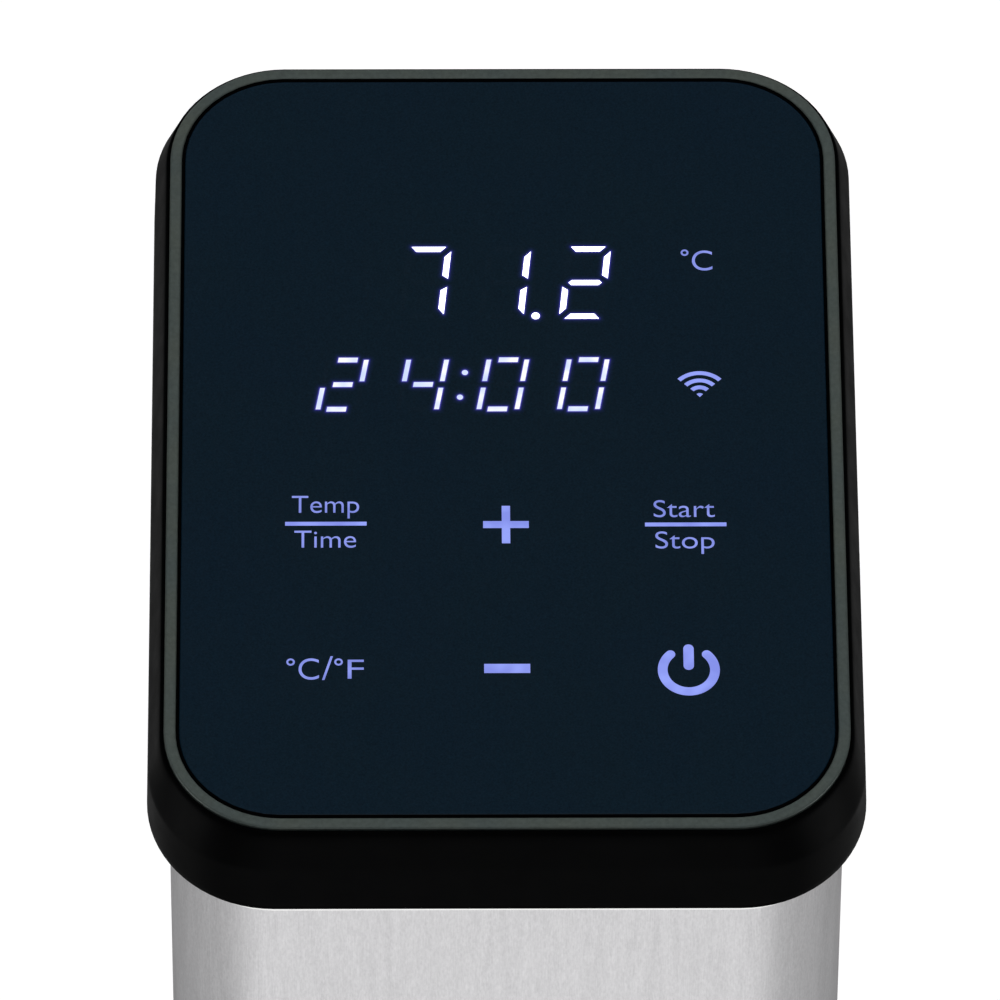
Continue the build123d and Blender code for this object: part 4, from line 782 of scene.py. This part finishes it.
def quarter(steps):
    """Angles over a quarter turn, both ends among them."""
    return [tau / 4 * i / steps for i in range(steps + 1)]


def turned(name, node, rings, closed, body, slot):
    """A piece skinned over rings, in place of a CAD node."""
    bm = bmesh.new()
    skin(bm, rings, closed)
    made = piece(name, finish_mesh(bm, name), materials[slot], body)
    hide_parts(node)


def span_of(node):
    """Where a node starts and ends along Y, and its radius, in mm."""
    low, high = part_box(node)
    return low[1] / MM, high[1] / MM, (high[0] - low[0]) / 2 / MM


# radius at which the end of a solid turned piece is closed by one flat face
CORE = 0.4


def knob():
    """Knob with a round neck, a lobed grip, and a dished end with a low button in it."""
    y0, y1, radius = span_of("clamp_knob")
    neck, neck_r, back, front = 4.0, 9.0, 1.6, 2.2
    profile = [(y0, 8.7, 0), (y0 + 0.3, neck_r, 0), (y0 + neck, neck_r, 0), (y0 + neck, radius - 3.0, 0.7)]
    for turn in quarter(5):
        profile.append((y0 + neck + back * (1 - cos(turn)), radius - back + back * sin(turn), 1))
    for turn in quarter(5):
        profile.append((y1 - front * (1 - sin(turn)), radius - front + front * cos(turn), 1))
    dish, button = 1.2, 0.5
    profile += [(y1 - 0.1, radius - 3.2, 0.9), (y1 - 0.9, radius - 4.6, 0.3), (y1 - dish, 8.0, 0)]
    profile += [(y1 - dish, 6.2, 0), (y1 - 0.7, 5.6, 0), (y1 - button, 4.6, 0), (y1 - button, CORE, 0)]
    rings = around("clamp_knob", profile, 192, lobes=8, depth=2.4)
    turned("knob_grip", "clamp_knob", rings, False, "clamp_handle", "housing_plastic")


THREAD_PITCH, THREAD_DEPTH, THREAD_STEP, THREAD_RUN_OUT = 4.0, 0.62, 0.25, 1.5
# height over the root, from 0 to 1: slope times the distance from the root's middle, in pitches,
# less an offset
FLANK_SLOPE, FLANK_OFFSET = 2.6, 0.28


def screw_thread():
    """Single-start thread of the clamp screw, run out at both ends."""
    y0, y1, radius = span_of("clamp_screw")
    middle = middle_of("clamp_screw")
    count, steps = int((y1 - y0) / THREAD_STEP), 40
    rings = []
    for k in range(count + 1):
        y = y0 + (y1 - y0) * k / count
        run_out = min(1.0, (y - y0) / THREAD_RUN_OUT, (y1 - y) / THREAD_RUN_OUT)
        radii = []
        for i in range(steps):
            phase = ((y - y0) / THREAD_PITCH + i / steps) % 1.0
            flank = min(1.0, max(0.0, FLANK_SLOPE * abs(phase - 0.5) - FLANK_OFFSET))
            radii.append(radius - THREAD_DEPTH * (1 - flank * run_out))
        rings.append(ring_about(middle, y, radii))
    turned("screw_thread", "clamp_screw", rings, False, "clamp_handle", "polished_steel")


RIB_PITCH, RIB_DEPTH, PAD_ROUND, PAD_RINGS = 2.0, 0.45, 1.0, 60


def pad_face():
    """Soft pad with round ribs that grip the wet wall of a pot."""
    y0, y1, radius = span_of("pad_facing")
    flat = radius - PAD_ROUND
    profile = [(y1, CORE, 0), (y1, radius, 0), (y0 + PAD_ROUND, radius, 0)]
    for turn in quarter(5)[1:]:
        profile.append((y0 + PAD_ROUND * (1 - sin(turn)), flat + PAD_ROUND * cos(turn), 0))
    for i in range(1, PAD_RINGS):
        r = flat * (1 - i / PAD_RINGS)
        wave = (1 - cos(tau * (flat - r) / RIB_PITCH)) / 2
        profile.append((y0 + RIB_DEPTH * wave, r, 0))
    turned("pad_ribs", "pad_facing", around("pad_facing", profile, 96), False, "clamp_foot", "pad_rubber")


def dome():
    """Domed nut of the cable gland, with finger flutes."""
    y0, y1, radius = span_of("gland_dome")
    bore, nose, deep, soft = 3.6, 7.02, 5.05, 4.0
    profile = [(y0, nose, 0), (y0, radius - 0.4, 0.2), (y0 + 0.4, radius, 0.6), (y0 + 1.4, radius, 1)]
    profile += [(y1 - soft - 1.5, radius, 1), (y1 - soft, radius, 0.7)]
    for turn in quarter(8)[1:]:
        profile.append((y1 - soft + soft * sin(turn), radius - soft + soft * cos(turn), 0))
    profile += [(y1, bore + 0.5, 0), (y1 - 0.5, bore, 0), (y0 + deep, bore, 0), (y0 + deep, nose, 0)]
    rings = around("gland_dome", profile, 144, lobes=18, depth=0.55, shape=2.0)
    turned("dome_nut", "gland_dome", rings, True, "head", "housing_plastic")


# how far the trim stands out of the housing and its inner face clears the steel, its eased edge,
# and how far it reaches below the CAD ring, to where the camera sees it under the cap
TRIM_PROUD, TRIM_CLEAR, TRIM_EASE, TRIM_DROP = 0.45, 0.02, 0.12, 0.42
HOUSING_R = 12.2  # corner radius of the steel housing


def trim():
    """Polished ring under the cap that hugs the housing all round."""
    low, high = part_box("body_sleeve")
    middle_y = (low[1] + high[1]) / 2
    width, depth = (high[0] - low[0]) / MM, (high[1] - low[1]) / MM / cos(PANEL_TILT)
    bottom, top = extent("trim_ring", NORMAL)
    bottom -= TRIM_DROP * MM

    def level(height, grow):
        middle = Vector((0, middle_y, (height - NORMAL.y * middle_y) / NORMAL.z))
        outline = rounded(width + 2 * grow, depth + 2 * grow, HOUSING_R + grow, steps=16)
        return [middle + (ACROSS * u + ALONG * v) * MM for u, v in outline]

    ease = TRIM_EASE * MM
    rings = [level(top, TRIM_CLEAR), level(top, TRIM_PROUD), level(bottom + ease, TRIM_PROUD)]
    rings += [level(bottom, TRIM_PROUD - TRIM_EASE), level(bottom, TRIM_CLEAR)]
    turned("trim_band", "trim_ring", rings, True, "head", "polished_steel")


glass_seal_and_gap_shade()
trim()
knob()
screw_thread()
pad_face()
dome()

# ---------------------------------------------------------------------------
# Stage: pale floor, soft light, camera
# ---------------------------------------------------------------------------
FLOOR_SIZE, FLOOR_GAP, FLOOR_GLOW = 6.0, 0.0005, 0.55


def make_floor():
    """Pale floor that lights itself a little and stays out of the object's reflections."""
    bm = bmesh.new()
    bm.faces.new([bm.verts.new((x, y, 0)) for x, y in bar(0, 0, FLOOR_SIZE, FLOOR_SIZE)])
    mesh = bpy.data.meshes.new("floor")
    bm.to_mesh(mesh)
    bm.free()
    finish = Finish("floor_paper", (0.9, 0.9, 0.9), 0.9, Specular_IOR_Level=0.0)
    finish.shader.inputs["Emission Color"].default_value = (1, 1, 1, 1)
    finish.shader.inputs["Emission Strength"].default_value = FLOOR_GLOW
    mesh.materials.append(finish.material)
    floor = bpy.data.objects.new("floor", mesh)
    floor.location.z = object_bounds()[0][2] - FLOOR_GAP
    floor.visible_glossy = False
    floor.visible_diffuse = False
    bpy.context.scene.collection.objects.link(floor)


# soft cards of the studio: direction, half width in degrees, brightness
CARDS = [
    ((0, -0.71, -0.70), 36, 1.3),
    ((0, 1, -0.1), 50, 0.3),
    ((-0.93, -0.25, -0.27), 28, 2.3),
    ((0.93, -0.25, -0.27), 28, 2.3),
    ((-0.62, -0.36, -0.70), 30, 0.5),
    ((0.62, -0.36, -0.70), 30, 0.5),
    ((-0.6, 0.3, -0.7), 34, 0.4),
    ((0.6, 0.3, -0.7), 34, 0.4),
    ((0, -0.75, 0.66), 30, 0.9),
]
AMBIENT = 0.11


def make_world():
    """White to the camera; to the object, soft cards on a grey room."""
    world = bpy.data.worlds.new("studio")
    world.use_nodes = True
    bpy.context.scene.world = world
    tree = world.node_tree
    tree.nodes.clear()

    def node(kind, **settings):
        made = tree.nodes.new(kind)
        for key, value in settings.items():
            setattr(made, key, value)
        return made

    direction = node("ShaderNodeTexCoord").outputs["Generated"]
    total = None
    for axis, width, brightness in CARDS:
        dot = node("ShaderNodeVectorMath", operation="DOT_PRODUCT")
        dot.inputs[1].default_value = Vector(axis).normalized()
        tree.links.new(direction, dot.inputs[0])
        card = node("ShaderNodeMapRange", interpolation_type="SMOOTHSTEP")
        card.inputs["From Min"].default_value = cos(radians(width))
        card.inputs["From Max"].default_value = 1.0
        card.inputs["To Max"].default_value = brightness
        tree.links.new(dot.outputs["Value"], card.inputs["Value"])
        summed = node("ShaderNodeMath", operation="ADD")
        summed.inputs[0].default_value = AMBIENT
        if total is not None:
            tree.links.new(total.outputs["Value"], summed.inputs[0])
        tree.links.new(card.outputs["Result"], summed.inputs[1])
        total = summed
    room = node("ShaderNodeBackground")
    tree.links.new(total.outputs["Value"], room.inputs["Strength"])
    backdrop = node("ShaderNodeBackground")
    mix = node("ShaderNodeMixShader")
    tree.links.new(node("ShaderNodeLightPath").outputs["Is Camera Ray"], mix.inputs["Fac"])
    tree.links.new(room.outputs["Background"], mix.inputs[1])
    tree.links.new(backdrop.outputs["Background"], mix.inputs[2])
    tree.links.new(mix.outputs["Shader"], node("ShaderNodeOutputWorld").inputs["Surface"])


LAMP_SIZE, LAMP_POWER, LAMP_HEIGHT = 2.4, 26, 2.2


def make_overhead():
    """Broad soft light over the floor, which no gloss on the object shows."""
    light = bpy.data.lights.new("overhead", "AREA")
    light.shape = "DISK"
    light.size = LAMP_SIZE
    light.energy = LAMP_POWER
    lamp = bpy.data.objects.new("overhead", light)
    lamp.location = (0, 0, LAMP_HEIGHT)
    lamp.visible_glossy = False
    bpy.context.scene.collection.objects.link(lamp)


# the camera looks down on the panel from the front, through a long lens
AIM_U, AIM_V = -0.63, -8.65
DISTANCE = 1.41308
ELEVATION, AZIMUTH, ROLL = radians(44.59), radians(-0.644), radians(0.341)
LENS, SENSOR, NEAR, FAR = 437.9, 36, 0.05, 20


def make_camera():
    """Camera at the photograph's viewing angle, aimed at a point on the plane of the rim's top."""
    back = Vector((sin(AZIMUTH) * cos(ELEVATION), -cos(AZIMUTH) * cos(ELEVATION), sin(ELEVATION)))
    data = bpy.data.cameras.new("camera")
    data.lens = LENS
    data.sensor_width = SENSOR
    data.clip_start = NEAR
    data.clip_end = FAR
    camera = bpy.data.objects.new("camera", data)
    turn = back.to_track_quat("Z", "Y").to_matrix() @ Matrix.Rotation(ROLL, 3, "Z")
    aim = on_panel(AIM_U, AIM_V) + NORMAL * (extent("glass_rim", NORMAL)[1] - GLASS_TOP.dot(NORMAL))
    camera.matrix_world = Matrix.Translation(aim + back * DISTANCE) @ turn.to_4x4()
    bpy.context.scene.collection.objects.link(camera)
    bpy.context.scene.camera = camera


make_floor()
make_world()
make_overhead()
make_camera()
bpy.context.scene.view_settings.view_transform = "Standard"
